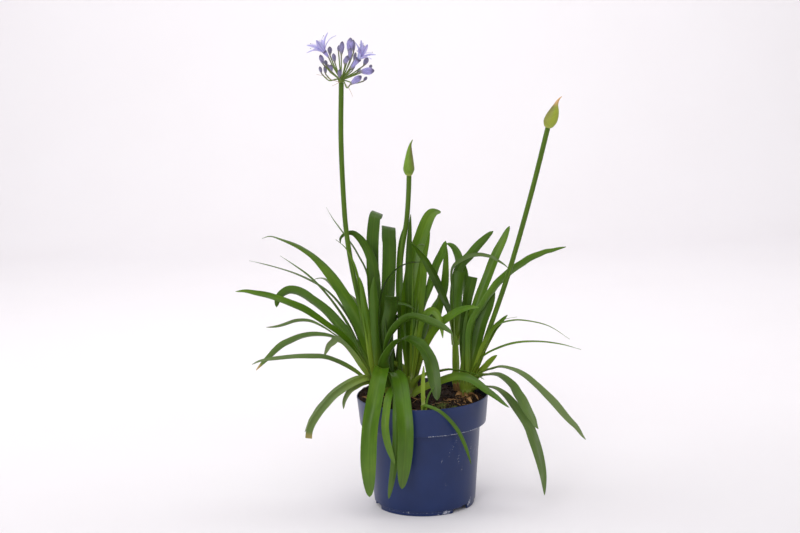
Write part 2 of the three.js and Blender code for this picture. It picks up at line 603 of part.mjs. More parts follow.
// The florets of the open head, from where its stem ends: a bud's or tube's base and end, and its width.
const FLORETS = [
  { base: [12, 2, 40], end: [15, 4, 62], width: 9 },
  { base: [18, 22, 40], end: [18, 26, 58], width: 6 },
  { base: [1, 8, 37], end: [3, 10, 57], width: 7 },
  { base: [-3, 20, 41], end: [-2, 23, 51], width: 5 },
  { base: [-15, 10, 38], end: [-15, 12, 50], width: 6.5 },
  { base: [29, -6, 37], end: [32, -8, 53], width: 8 },
  { base: [18, 22, 28], end: [21, 26, 40], width: 4.5 },
  { base: [13, -12, 30], end: [15, -14, 49], width: 5.5 },
  { base: [7, -24, 27], end: [11, -30, 39], width: 6.5 },
  { base: [-24, -6, 26], end: [-28, -8, 40], width: 6.5 },
  { base: [-20, 10, 22], end: [-22, 13, 31], width: 5 },
  { base: [-27, -10, 14], end: [-29, -12, 24], width: 4.5, droop: 6 },
  { base: [-22, 14, 11], end: [-23, 18, 23], width: 5, droop: 5 },
  { base: [-12, -22, 17], end: [-13, -26, 27], width: 5 },
  { base: [-2, -26, 8], end: [0, -34, 21], width: 6 },
  { base: [32, 10, 22], end: [38, 12, 33], width: 7 },
  { base: [22, 16, 12], end: [27, 20, 18], width: 4.5 },
  { base: [26, -8, 15], end: [47, -10, 16], width: 11 },
  { base: [13, -16, -2], end: [29, -22, 10], width: 9, droop: 8 },
  { base: [40, 10, 17], end: [43, 12, 23], width: 4.5 },
  { base: [31, 12, 0], end: [36, 15, 6], width: 4.5, droop: 4 },
  { base: [5, 32, 22], end: [6, 38, 32], width: 6 },
  { base: [-9, 28, 26], end: [-11, 33, 39], width: 6 },
  { base: [15, 28, 14], end: [18, 34, 25], width: 6 },
  { base: [-16, 24, 13], end: [-19, 28, 24], width: 5.5 },
  { base: [-16, -12, 36], end: [-22, -15, 45], width: 7,
    tepals: [[-16, -14, 71], [-32, -24, 61], [-46, -12, 54], [-46, -24, 44], [-25, 2, 60],
      [-38, 4, 47]] },
  { base: [14, -20, 20], end: [26, -24, 34], width: 9,
    tepals: [[30, -12, 59], [39, -18, 53], [50, -24, 39], [44, -38, 34], [24, -40, 46],
      [22, -26, 57]] },
];

// A round body swept through rings, each one a centre and a radius.
function swept(rings, sides) {
  const across = new THREE.Vector3(0.6, 0.8, 0);
  const positions = rings.flatMap(({ at, radius }, i) => {
    const next = rings[Math.min(i + 1, rings.length - 1)].at;
    const along = next.clone().sub(rings[Math.max(i - 1, 0)].at).normalize();
    across.addScaledVector(along, -across.dot(along)).normalize();
    const face = new THREE.Vector3().crossVectors(along, across);
    const corners = Array.from({ length: sides }, (_, k) => {
      const angle = (-2 * Math.PI * k) / sides;
      return [radius * Math.cos(angle), radius * Math.sin(angle)];
    });
    return sectionPoints(corners, at, across, face);
  });
  return skin(positions, sides, rings.length, fan(sides), []);
}

function fan(sides) {
  return Array.from({ length: sides - 2 }, (_, i) => [0, i + 1, i + 2]);
}

// Shares of a bud's length and of its half width, from its base to its tip.
const BUD_SWELL = [[0, 0.3], [0.3, 0.75], [0.6, 1], [0.86, 0.7], [1, 0.2]];
const TUBE_SWELL = [[0, 0.3], [1, 1]];
const SLIMMEST = FLOWER_STALK_RADIUS * 0.6;

// A tepal: its width at even steps as shares of the full width, and how far its base sits in the
// tube and its middle bows out.
const TEPAL_SHAPE = [0.5, 0.9, 0.9, 0.2];
const TEPAL_ROOT = 2;
const TEPAL_BOW = 3;

// A flower stalk's arc: how far out and up it has come half way, and its lift there.
const ARC = { outward: 0.62, upward: 0.55, lift: 2 };

// One floret: a thin stalk that leaves the hub and arcs over to the base of a closed bud, or of an
// open flower's tube with a ring of tepals at its mouth.
function floret({ base, end, width, droop = 0, tepals = [] }) {
  const middle = new THREE.Vector3(0, 0, HUB_HEIGHT / 2);
  const foot = new THREE.Vector3(...base);
  const mouth = new THREE.Vector3(...end);
  const outward = foot.clone().sub(middle).normalize();
  const arc = foot.clone().multiply(new THREE.Vector3(ARC.outward, ARC.outward, ARC.upward));
  arc.z += ARC.lift - droop;
  const stalk = [
    middle.clone().addScaledVector(outward, HUB_RADIUS * 0.5),
    middle.clone().addScaledVector(outward, HUB_RADIUS * 1.4),
    arc,
  ].map((at) => ({ at, radius: FLOWER_STALK_RADIUS }));
  const swell = (tepals.length > 0 ? TUBE_SWELL : BUD_SWELL).map(([along, share]) => (
    { at: foot.clone().lerp(mouth, along), radius: Math.max((width / 2) * share, SLIMMEST) }
  ));
  const axis = mouth.clone().sub(foot).normalize();
  return [swept([...stalk, ...swell], 5), ...tepals.map((tip) => tepal(mouth, axis, tip))];
}

function tepal(throat, axis, tip) {
  const reach = new THREE.Vector3(...tip).sub(throat);
  const sideways = new THREE.Vector3().crossVectors(axis, reach).normalize();
  const root = throat.clone().addScaledVector(axis, -TEPAL_ROOT);
  const belly = throat.clone().addScaledVector(reach, 0.5).addScaledVector(axis, TEPAL_BOW);
  const curve = new THREE.CatmullRomCurve3([root, belly, new THREE.Vector3(...tip)]);
  const positions = TEPAL_SHAPE.flatMap((share, i) => {
    const along = i / (TEPAL_SHAPE.length - 1);
    const face = new THREE.Vector3().crossVectors(curve.getTangent(along), sideways).normalize();
    return sectionPoints(FLAT.corners((TEPAL_WIDTH / 2) * share), curve.getPoint(along), sideways, face);
  });
  return skin(positions, 4, TEPAL_SHAPE.length, FLAT.cap, FLAT.underside);
}

function flowerHead() {
  const hub = turned([
    [0, 0], [STEM_RADIUS, 0], [HUB_RADIUS, HUB_HEIGHT / 2], [3, HUB_HEIGHT], [0, HUB_HEIGHT + 0.5],
  ], 8);
  const [x, y, z] = STEMS[0].path.at(-1);
  return wholeBody(joined([hub, ...FLORETS.flatMap(floret)])).translate([x, y, z + GAP]);
}

// A closed bud sheath on a stem's end: an egg that draws out to a bent beak. Each ring is given as
// its sideways lean, its height along the stem's line, its half width and its half depth.
function budSheath(stem, rings) {
  const sides = 8;
  const positions = [];
  for (const [lean, height, wide, deep] of rings) {
    for (let i = 0; i < sides; i += 1) {
      const angle = (2 * Math.PI * i) / sides;
      positions.push(lean + wide * Math.cos(angle), -deep * Math.sin(angle), height);
    }
  }
  const geometry = skin(positions, sides, rings.length, fan(sides), []);
  const line = curveThrough(stem.path).getTangent(1);
  geometry.applyQuaternion(new THREE.Quaternion().setFromUnitVectors(new THREE.Vector3(0, 0, 1), line));
  const foot = new THREE.Vector3(...stem.path.at(-1)).addScaledVector(line, GAP);
  return geometry.translate(...foot);
}

const MIDDLE_BUD = [
  [0, 0, 3.2, 3.2], [-0.5, 2, 5, 4.5], [-0.6, 9, 7.6, 6.2], [-0.6, 16, 7, 5.8], [-0.4, 26, 5.4, 4.6],
  [-0.1, 36, 3.6, 3.2], [1, 45, 1.7, 1.7], [4, 52, 0.6, 0.6],
];
const RIGHT_BUD = [
  [0, 0, 3.2, 3.2], [0.2, 1.5, 5.4, 4.6], [0.9, 9, 8.8, 6.6], [2, 18, 8.4, 6.4], [3, 27, 6, 5],
  [3.4, 35, 2.9, 2.6], [5, 42, 1.5, 1.4], [8.4, 47.5, 0.6, 0.6],
];

// ---------------------------------------------------------------- assembly

const leafGreen = finish(0x4a7a1e, 0.45);
const stemGreen = finish(0x4f7424, 0.5);
const budGreen = finish(0x8a9a3c, 0.5);
const petalViolet = finish(0x9a90cf, 0.6);
const peatBrown = finish(0x2b1c14, 0.95);
const potBlue = finish(0x36456b, 0.42);

const plant = new THREE.Group();

function place(name, geometry, material) {
  const mesh = new THREE.Mesh(geometry, material.clone());
  mesh.name = name;
  plant.add(mesh);
}

const roomRadius = STEM_RADIUS + 2 * GAP;
const stemRoom = STEMS.map((stem) => solid(rod(stem.path, roomRadius, STEM_SIDES, stem.steps)));
const shootBodies = SHOOTS.map((shoot) => (
  stemRoom.reduce((body, room) => body.subtract(room), shootBody(shoot))
));

let soil = soilBody();
for (const shoot of SHOOTS) {
  soil = soil.subtract(plantingHole(shoot));
}
for (const room of stemRoom) {
  soil = soil.subtract(room);
}

place('pot', pot(), potBlue);
place('soil', geometryOf(wholeBody(soil)), peatBrown);
SHOOTS.forEach((shoot, i) => place(shoot.name, geometryOf(wholeBody(shootBodies[i])), leafGreen));
for (const stem of STEMS) {
  place(stem.name, rod(stem.path, STEM_RADIUS, STEM_SIDES, stem.steps), stemGreen);
}
place('flower_head', geometryOf(flowerHead()), petalViolet);
place('bud_middle', budSheath(STEMS[1], MIDDLE_BUD), budGreen);
place('bud_right', budSheath(STEMS[2], RIGHT_BUD), budGreen);

export default plant;
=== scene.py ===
"""Looks for a potted agapanthus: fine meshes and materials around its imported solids."""

import math
import random

import bpy
import numpy as np
from mathutils import Matrix, Vector, noise


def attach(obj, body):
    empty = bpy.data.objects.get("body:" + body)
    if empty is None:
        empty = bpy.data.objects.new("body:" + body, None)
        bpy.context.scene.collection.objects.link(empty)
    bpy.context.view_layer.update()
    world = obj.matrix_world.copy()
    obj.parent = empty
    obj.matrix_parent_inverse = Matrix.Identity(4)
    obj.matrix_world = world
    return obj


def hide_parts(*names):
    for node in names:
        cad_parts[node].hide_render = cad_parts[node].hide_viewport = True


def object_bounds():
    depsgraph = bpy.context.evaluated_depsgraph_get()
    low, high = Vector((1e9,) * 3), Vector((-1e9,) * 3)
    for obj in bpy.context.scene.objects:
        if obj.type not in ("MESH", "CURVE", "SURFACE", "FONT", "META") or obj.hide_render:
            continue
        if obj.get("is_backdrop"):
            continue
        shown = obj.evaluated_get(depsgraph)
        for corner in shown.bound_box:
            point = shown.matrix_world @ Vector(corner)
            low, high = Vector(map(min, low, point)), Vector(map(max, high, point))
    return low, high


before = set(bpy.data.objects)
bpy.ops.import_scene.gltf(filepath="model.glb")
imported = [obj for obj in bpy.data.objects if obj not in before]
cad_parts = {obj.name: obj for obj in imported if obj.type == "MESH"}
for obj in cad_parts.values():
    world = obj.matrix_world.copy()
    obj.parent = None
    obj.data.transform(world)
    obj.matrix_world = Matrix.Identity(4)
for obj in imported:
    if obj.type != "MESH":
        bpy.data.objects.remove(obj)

CAD_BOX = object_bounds()

bl_info = {
    "name": "Potted Agapanthus",
    "version": (1, 0, 0),
    "blender": (4, 5, 0),
    "location": "View3D > Sidebar > Agapanthus",
    "description": "Builds the leaves, flowers, soil, pot and studio of a potted agapanthus",
    "category": "Object",
}

MM = 0.001
UP = np.array((0.0, 0.0, 1.0))

# ------------------------------------------------------------------ measures, in millimetres

POT_HEIGHT = 162.0
RIM_RADIUS = 95.0
BAND_HEIGHT = 40.5
BAND_FOOT_RADIUS = 91.0
SHOULDER_DROP = 1.0
SHOULDER_RADIUS = 82.6
BODY_FOOT = 8.0
BODY_FOOT_RADIUS = 73.5
FOOT_HEIGHT = 7.0
FOOT_RADIUS = 71.5
FOOT_INSIDE = 68.5
FOOT_SEAM = 4.6
BASE_UNDERSIDE = 5.0
BOSS_RADIUS = 14.0
POT_WALL = 1.6
BAND_FOOT = POT_HEIGHT - BAND_HEIGHT
SHOULDER = BAND_FOOT - SHOULDER_DROP
LEDGE_TOP = BAND_FOOT + POT_WALL
LEDGE_FOOT = SHOULDER + POT_WALL

GAP_CENTRES_DEG = (-45.0, 75.0, 195.0)
GAP_WIDTH_DEG = 24.0
GAP_TOP = BASE_UNDERSIDE + 0.6
DRAIN_OFFSET_DEG = 6.0
DRAIN_WIDTH_DEG = 8.8
DRAIN_INSIDE = 64.0
DRAIN_TOP = 8.4
INNER_FLOOR = DRAIN_TOP + 1.2
POT_COLUMN_DEG = 2.0
EDGE_PAIR_DEG = 0.08

SOIL_LEVEL = 154.0
SOIL_FALL_TO_RIGHT = 0.05
SOIL_GAP = 0.7
SOIL_RINGS = 58
CRUMBS_REACH = 89.0
CRUMB_SIZES = (0.6, 2.3)
CRUMB_FLATNESS = 0.75
# The mound round the left shoot: its place, height and reach.
MOUND = (-80.0, 35.0, 7.0, 30.0)
# The lumps in the soil's surface: height, width and layer of noise.
PEAT_LUMPS = ((2.4, 11.0, 0.3), (1.5, 4.2, 5.1), (0.8, 1.9, 9.7))

STEM_RADIUS = 3.6
STEM_END_GAP = 0.35
HUB_RADIUS = 4.6
FLOWER_STALK_RADIUS = 0.9
STAMEN_RADIUS = 0.28
TEPAL_WIDTH = 7.5
TEPAL_THICKNESS = 0.4

# A blade's width, as shares: how wide it leaves its shoot and where along it is widest.
SHEATH_SHARE = 0.68
FULL_WIDTH_AT = 0.45
LEAST_HALF_WIDTH = 0.35
# A blade's section: its columns of points, how deep its channel is for its width, how round the channel
# is at the midrib, how much it fades towards the tip, and how much thinner and wavier the edges are.
BLADE_COLUMNS = np.linspace(-1, 1, 11)
CHANNEL_DEPTH = 0.17
CHANNEL_ROUNDING = 0.3
CHANNEL_FADE = 0.75
FOLD_FLATTENING = 1.6
EDGE_THINNING = 0.55
EDGE_WAVE = 0.05
EDGE_WAVE_LENGTHS = (55, 95)
# The share of a blade's length where its upper face looks up, and how far its tone may stray.
FACE_UP_AT = 0.6
TONE_SPREAD = 0.24
# How far a blade's root sinks into its shoot, and how far it moves from the middle to its own side.
ROOT_DEPTH = 14.0
ROOT_RISE = 6.0
ROOT_OFFSET = 0.4

# A shoot's base: how far it goes down, its size as a share from its foot to its top, and its tone at
# heights above the soil.
BASE_DEPTH = 20.0
BASE_RINGS = 22
BASE_SIDES = 40
BASE_SWELL = ((0, 0.8), (0.3, 0.82), (0.6, 0.9), (0.86, 0.76), (1, 0.42))
BASE_TONES = ((0, -0.6), (20, -0.3), (45, 0.3))
# The thin sheaths that show round a base: their thickness, their width as a share of half the base's,
# and their azimuths in degrees, the front ones last.
SHEATH_THICKNESS = 0.5
SHEATH_WIDTH_SHARE = 0.55
SHEATH_AZIMUTHS = (90, 150, 30, 190, -10, 215, -35, 240, -62, -92)

# How a blade narrows: the share of its length where its tip begins, and how bluntly it ends.
TIPS = {"long": (0.35, 0.95), "pointed": (0.55, 0.65), "round": (0.74, 0.5), "fold": (0.74, 0.5),
        "cut": (1.0, 1.0)}

# A leaf's look: its tone from dark to light, which is a painted shade on the deep and shaded leaves in
# the clump, its bloom of grey at its root and at its tip, which is partly a painted sheen, how dry its tip
# is, and the length of its pale base that stays inside the shoot, in millimetres.
LOOKS = {
    "plain": (0.08, 0.0, 0.0, 0.0, 40),
    "deep": (-0.38, 0.0, 0.0, 0.0, 45),
    "light": (0.3, 0.0, 0.0, 0.0, 10),
    "mid": (-0.35, 0.0, 0.0, 0.0, 80),
    "pale_foot": (0.05, 0.0, 0.0, 0.0, 0),
    "grey": (-0.15, 0.2, 0.4, 0.0, 40),
    "silver": (0.1, 0.3, 0.65, 0.0, 30),
    "dull": (-0.3, 0.1, 0.3, 0.0, 50),
    "tan_tip": (0.0, 0.15, 0.2, 1.0, 30),
    "cut_tip": (0.2, 0.45, 0.45, 0.5, 20),
    "yellow": (0.9, 0.0, 0.0, 0.3, 0),
    "hanging": (-0.1, -0.3, 0.16, 0.0, 80),
    "arching": (-0.5, -0.3, 0.16, 0.0, 80),
    "sheath": (0.0, 0.0, 0.0, 0.0, 8),
    "shaded": (-0.9, 0.0, 0.0, 0.0, 80),
}

# Each shoot: where its foot stands, half the width and depth of its base, the height of the base's top,
# and its leaves. Each leaf: its width, the direction in degrees of its width where it leaves the shoot
# (or that and its twist), how it ends, its look, and the points of its path.
SHOOTS = {
    "shoot_left": {"foot": (-66, 34), "half": (11, 7), "top": 186, "leaves": [
        (20, (20, -90), "long", "plain", (-73, 36, 210), (-80, 37, 235), (-88, 39, 259), (-99, 40, 282),
         (-110, 42, 302), (-121, 43, 321), (-132, 44, 336), (-143, 46, 349), (-153, 47, 359),
         (-165, 48, 368), (-177, 50, 375), (-198, 51, 384), (-215, 53, 389), (-227, 54, 386)),
        (9, 80, "long", "dull", (-81, 40, 204), (-100, 46, 259), (-131, 54, 303), (-174, 62, 329),
         (-218, 68, 344), (-248, 72, 351)),
        (9, 80, "long", "grey", (-82, 32, 206), (-102, 28, 255), (-130, 22, 302), (-157, 16, 335),
         (-178, 12, 353), (-198, 8, 368)),
        (11, 60, "pointed", "grey", (-83, 50, 229), (-93, 54, 254), (-104, 58, 277), (-115, 63, 296),
         (-125, 67, 308), (-132, 71, 316), (-138, 75, 320), (-144, 80, 321), (-150, 84, 320),
         (-156, 88, 317)),
        (17, (168, -30), "round", "deep", (-85, 34, 207), (-96, 35, 228), (-110, 36, 249),
         (-123, 37, 265), (-134, 38, 278), (-145, 39, 288), (-157, 40, 297), (-168, 42, 305),
         (-179, 43, 310), (-190, 44, 311), (-200, 45, 306), (-206, 46, 299), (-208, 47, 292),
         (-209, 48, 285)),
        (14, (80, -30), "pointed", "plain", (-85, 30, 205), (-100, 27, 229), (-117, 24, 248),
         (-134, 21, 262), (-151, 18, 276), (-167, 15, 288), (-184, 11, 297), (-201, 8, 305),
         (-219, 5, 312), (-234, 2, 316), (-250, -1, 320), (-263, -4, 320)),
        (8, (28, 138), "pointed", "grey", (-87, 40, 202), (-102, 41, 222), (-118, 41, 238),
         (-132, 42, 249), (-146, 42, 258), (-159, 43, 264), (-171, 43, 266), (-183, 44, 265),
         (-193, 44, 262), (-202, 45, 259), (-212, 45, 257), (-225, 46, 256)),
        (12, (68, 108), "pointed", "tan_tip", (-85, 46, 198), (-100, 47, 216), (-114, 49, 230),
         (-130, 50, 239), (-146, 51, 242), (-161, 53, 242), (-177, 54, 239), (-192, 55, 233),
         (-204, 57, 227), (-215, 58, 218), (-225, 59, 208), (-235, 61, 198), (-244, 62, 188)),
        (9.5, 60, "pointed", "grey", (-84, 20, 183), (-95, 17, 193), (-109, 15, 203), (-125, 12, 212),
         (-141, 10, 218), (-159, 7, 220), (-181, 4, 221), (-204, 2, 220), (-221, -1, 219),
         (-234, -3, 217), (-244, -6, 213)),
        (12, (0, -30), "pointed", "silver", (-85, 30, 198), (-96, 32, 216), (-108, 34, 231),
         (-116, 35, 237), (-123, 37, 238), (-128, 39, 233), (-134, 40, 228), (-138, 42, 220),
         (-142, 44, 211)),
        (10, 62, "cut", "cut_tip", (-78, 10, 185), (-90, 6, 183), (-103, 3, 178), (-116, -1, 171),
         (-128, -5, 163), (-136, -8, 155), (-144, -12, 147), (-150, -15, 140), (-156, -19, 132),
         (-161, -23, 124), (-164, -26, 116), (-165, -30, 108)),
        (8, 80, "pointed", "silver", (-80, 16, 185), (-96, 13, 184), (-112, 10, 177), (-125, 7, 169),
         (-135, 4, 161), (-143, 1, 153), (-151, -2, 145), (-157, -5, 137), (-163, -8, 129),
         (-167, -11, 121), (-171, -14, 113)),
        (8, 50, "pointed", "silver", (-77, 22, 176), (-86, 20, 175), (-95, 18, 171), (-104, 16, 166),
         (-110, 15, 158), (-114, 13, 149), (-115, 11, 139)),
        (8, 75, "long", "dull", (-67, 40, 227), (-67, 42, 263), (-69, 44, 299), (-73, 45, 322),
         (-78, 47, 340), (-86, 49, 356), (-94, 51, 371), (-103, 53, 384), (-112, 54, 397),
         (-123, 56, 413), (-132, 58, 429)),
        (17, (20, -60), "pointed", "deep", (-65, 30, 251), (-64, 30, 288), (-64, 30, 316),
         (-65, 30, 337), (-68, 29, 355), (-73, 29, 369), (-79, 29, 380), (-86, 29, 389), (-94, 29, 395),
         (-101, 28, 395), (-108, 28, 392), (-112, 28, 387), (-112, 28, 380)),
        (13, 40, "pointed", "pale_foot", (-73, 14, 225), (-75, 12, 252), (-78, 9, 278), (-81, 7, 301),
         (-83, 4, 320), (-86, 2, 335)),
        (17, 10, "pointed", "deep", (-65, 16, 223), (-66, 14, 275), (-66, 13, 312), (-65, 12, 333)),
        (18, 10, "fold", "deep", (-65, 26, 237), (-66, 32, 295), (-67, 38, 346), (-66, 44, 381),
         (-64, 50, 401), (-62, 58, 413), (-59, 72, 417), (-56, 90, 413), (-55, 105, 402)),
        (6, 40, "long", "light", (-69, 20, 201), (-77, 8, 256), (-84, 6, 307), (-92, 5, 351),
         (-104, 5, 377), (-118, 5, 390)),
        (11, 60, "round", "grey", (-80, 60, 237), (-88, 70, 266), (-95, 80, 286), (-103, 90, 294)),
    ]},
    "shoot_centre_left": {"foot": (-46, 16), "half": (10, 6), "top": 180, "leaves": [
        (20, (0, 14), "fold", "deep", (-50, 24, 260), (-45, 29, 318), (-42, 38, 368), (-42, 44, 388),
         (-42, 52, 397), (-43, 66, 397), (-45, 90, 386), (-50, 112, 363)),
        (19, 0, "cut", "shaded", (-49, 8, 255), (-43, -5, 284), (-41, -20, 303), (-40, -38, 314)),
        (7, 100, "pointed", "shaded", (-59, 8, 241), (-59, 6, 285), (-51, 8, 321), (-35, 10, 342),
         (-16, 12, 352), (6, 12, 353)),
        (12, (160, -110), "round", "shaded", (-51, 6, 271), (-47, 3, 287), (-42, -1, 295),
         (-35, -4, 297), (-27, -8, 297), (-20, -11, 296), (-13, -15, 293), (-8, -18, 289)),
        (16, (112, -150), "pointed", "arching", (-52, 4, 222), (-47, -1, 244), (-38, -5, 260),
         (-28, -10, 271), (-18, -14, 278), (-8, -19, 280), (2, -23, 278), (13, -28, 275),
         (24, -32, 271), (34, -37, 266), (41, -41, 261), (45, -46, 257)),
        (20, (0, 130), "round", "arching", (-54, 0, 209), (-49, -4, 223), (-40, -9, 237),
         (-30, -13, 246), (-20, -18, 248), (-12, -22, 246), (-3, -27, 242), (4, -31, 234),
         (9, -36, 226), (13, -40, 216), (15, -45, 206), (17, -49, 194), (19, -54, 182), (20, -58, 166)),
        (23, -20, "round", "hanging", (-52, 12, 188), (-56, -10, 205), (-61, -45, 198), (-68, -68, 172),
         (-75, -80, 139), (-79, -86, 90), (-79, -84, 35)),
        (11, -10, "round", "hanging", (-44, -10, 169), (-39, -40, 183), (-48, -72, 178),
         (-52, -94, 161), (-54, -101, 140), (-50, -104, 113), (-42, -104, 88)),
        (11, 0, "round", "arching", (-45, 0, 189), (-39, -42, 186), (-37, -80, 174), (-38, -97, 154),
         (-39, -99, 121), (-43, -99, 85), (-52, -97, 36)),
        (22, 15, "round", "hanging", (-48, 6, 186), (-43, -12, 199), (-34, -42, 198), (-30, -72, 186),
         (-28, -94, 170), (-26, -106, 145), (-27, -110, 110), (-33, -108, 53)),
    ]},
    "shoot_old": {"foot": (-35, 55), "half": (8, 6), "top": 176, "leaves": [
        (12, 60, "pointed", "deep", (-40, 50, 201), (-42, 45, 240), (-35, 40, 266), (-23, 36, 284)),
        (12, 120, "pointed", "deep", (-34, 52, 197), (-30, 50, 231), (-25, 48, 254), (-20, 50, 290)),
        (12, 70, "pointed", "deep", (-46, 50, 198), (-51, 50, 239), (-52, 55, 290)),
        (9, 20, "round", "yellow", (-27, 44, 190), (-39, 38, 198), (-49, 35, 196)),
    ]},
    "shoot_middle": {"foot": (-16, 20), "half": (9, 6), "top": 184, "leaves": [
        (17, (60, 90), "round", "pale_foot", (-3, 24, 254), (2, 27, 272), (7, 30, 289), (12, 32, 303),
         (17, 35, 317), (21, 38, 329), (24, 41, 339), (28, 44, 348), (33, 46, 357), (37, 49, 367),
         (40, 52, 376)),
        (12, 30, "pointed", "deep", (-17, 22, 237), (-16, 25, 295), (-15, 28, 346), (-13, 30, 382),
         (-10, 32, 419)),
        (20, (0, 12), "round", "plain", (-17, 30, 294), (-10, 40, 336), (-3, 48, 364), (3, 54, 378),
         (8, 60, 391), (14, 68, 404), (19, 76, 411), (25, 86, 414), (35, 100, 412)),
        (12, 20, "pointed", "plain", (-3, 26, 268), (1, 28, 294), (4, 30, 316), (6, 32, 334),
         (7, 34, 349), (9, 36, 360), (12, 38, 371), (15, 40, 383), (17, 42, 393)),
        (6, 60, "pointed", "grey", (0, 40, 277), (7, 48, 334), (8, 52, 371), (-5, 52, 369)),
        (6, 30, "pointed", "deep", (-13, 22, 229), (-8, 21, 266), (-5, 20, 299)),
        (11, (30, 40), "pointed", "pale_foot", (-16, 12, 159), (-12, 9, 173), (-6, 7, 182), (3, 4, 188),
         (13, 2, 192), (26, -1, 195), (39, -4, 198), (52, -6, 197), (65, -9, 195), (78, -11, 191),
         (89, -14, 184)),
        (11.5, 104, "pointed", "pale_foot", (-17, 10, 150), (-12, 7, 160), (-3, 4, 167), (8, 1, 173),
         (20, -2, 178), (32, -5, 183), (43, -8, 187), (53, -11, 189), (63, -15, 188), (73, -18, 184),
         (82, -21, 178), (91, -24, 171), (101, -27, 164), (109, -30, 158), (116, -33, 152),
         (123, -36, 147)),
        (15, (118, 10), "pointed", "pale_foot", (-7, 16, 195), (-1, 13, 213), (5, 10, 228),
         (12, 8, 241), (20, 5, 254), (29, 2, 265), (41, -1, 274), (52, -4, 282), (64, -6, 287),
         (74, -9, 289), (83, -12, 289)),
        (12, (100, 50), "pointed", "light", (-4, 12, 230), (-1, 9, 251), (3, 6, 268), (10, 2, 280),
         (17, -1, 284), (24, -4, 279), (28, -8, 268), (30, -11, 257), (31, -14, 246)),
        (11, 30, "pointed", "deep", (-3, 20, 222), (5, 21, 248), (11, 22, 266), (16, 23, 277),
         (20, 24, 286), (24, 25, 293), (27, 26, 299)),
        (11, 10, "pointed", "deep", (-24, 24, 244), (-28, 28, 280), (-29, 32, 316), (-28, 36, 345),
         (-27, 40, 363), (-25, 44, 380), (-21, 48, 397)),
        (3, 10, "long", "plain", (-11, 20, 292), (-10, 18, 326), (-10, 16, 352)),
        (14, 20, "pointed", "pale_foot", (0, 28, 217), (9, 34, 236), (18, 39, 253), (24, 45, 268),
         (28, 50, 281), (33, 56, 295), (37, 62, 310), (39, 67, 326), (40, 73, 341), (41, 78, 355),
         (41, 84, 366)),
        (10, 15, "pointed", "pale_foot", (-11, 20, 244), (-7, 25, 283), (-4, 30, 306), (-1, 34, 322),
         (2, 39, 341), (4, 44, 356)),
    ]},
    "shoot_back_right": {"foot": (51, 62), "half": (6, 5), "top": 232, "leaves": [
        (12, (92, -120), "pointed", "deep", (42, 50, 271), (37, 41, 288), (31, 32, 304), (26, 23, 318),
         (20, 14, 333), (14, 6, 346), (8, -3, 359), (1, -12, 370), (-5, -21, 380), (-11, -30, 388)),
        (18, (72, 90), "pointed", "deep", (60, 74, 238), (66, 77, 275), (68, 80, 297), (67, 83, 310),
         (66, 86, 320), (64, 89, 328), (61, 91, 337), (59, 94, 346), (56, 97, 353), (52, 100, 359),
         (47, 103, 362), (42, 106, 363)),
        (13, 160, "round", "deep", (50, 70, 247), (50, 68, 277), (51, 66, 297), (53, 64, 312),
         (56, 63, 326), (60, 61, 336), (66, 59, 344), (74, 57, 352), (81, 55, 361), (88, 54, 369),
         (96, 52, 377), (103, 50, 384), (109, 48, 389)),
        (7, (72, 72), "pointed", "dull", (49, 60, 279), (48, 57, 302), (47, 54, 320), (48, 51, 333),
         (53, 48, 342), (61, 45, 348), (72, 42, 354), (80, 40, 356), (89, 37, 357), (97, 34, 356),
         (106, 31, 354), (114, 28, 349), (122, 25, 344), (129, 22, 338)),
        (17, 10, "cut", "deep", (52, 68, 232), (54, 62, 263), (54, 60, 286), (56, 60, 309),
         (59, 62, 329)),
    ]},
    "shoot_right": {"foot": (65, 25), "half": (10, 6), "top": 180, "leaves": [
        (15, 20, "cut", "deep", (63, 38, 223), (65, 40, 260), (69, 42, 289), (74, 43, 308),
         (78, 44, 323)),
        (14, 166, "round", "plain", (69, 33, 241), (73, 36, 256), (77, 38, 269), (82, 41, 280),
         (87, 44, 293), (93, 47, 307), (100, 50, 323), (106, 52, 338), (113, 55, 354), (119, 58, 365),
         (125, 60, 376), (130, 63, 386), (134, 66, 393)),
        (13, (48, -30), "pointed", "plain", (71, 22, 251), (76, 24, 264), (83, 26, 275), (90, 28, 284),
         (97, 30, 295), (105, 31, 305), (112, 33, 314), (121, 35, 322), (132, 37, 331), (141, 39, 337),
         (150, 41, 342), (158, 43, 347), (167, 45, 351), (176, 46, 354), (185, 48, 357), (194, 50, 358),
         (203, 52, 360), (215, 54, 362)),
        (18, 165, "round", "deep", (72, 30, 197), (78, 33, 220), (84, 35, 241), (90, 38, 260),
         (97, 41, 277), (103, 43, 293), (107, 46, 307)),
        (12, 138, "pointed", "pale_foot", (78, 20, 190), (84, 18, 206), (89, 16, 220), (95, 13, 233),
         (101, 11, 244), (107, 9, 254), (114, 6, 262), (119, 4, 268), (125, 2, 274)),
        (3.5, 100, "long", "light", (94, 8, 229), (108, 6, 259), (121, 6, 267), (139, 6, 270)),
        (4, 100, "long", "light", (76, 18, 190), (94, 6, 234), (111, 2, 260), (130, 2, 266),
         (147, 2, 266), (183, 2, 257), (214, 2, 236)),
        (4.5, 100, "long", "plain", (73, 22, 188), (88, 10, 212), (108, 6, 224), (135, 2, 233),
         (168, -2, 235), (201, -6, 231), (229, -10, 223)),
        (12, 128, "pointed", "light", (81, 20, 181), (86, 16, 189), (92, 12, 196), (97, 8, 203),
         (103, 4, 210), (109, 0, 216)),
        (13, (30, 100), "pointed", "silver", (85, 18, 186), (93, 15, 191), (102, 12, 194),
         (110, 9, 197), (119, 6, 197), (127, 4, 195), (136, 1, 192), (144, -2, 188), (153, -5, 182),
         (161, -8, 175), (169, -11, 168), (177, -14, 160), (186, -17, 151), (194, -20, 142),
         (202, -22, 132), (210, -25, 123), (219, -28, 114), (227, -31, 102), (232, -34, 96)),
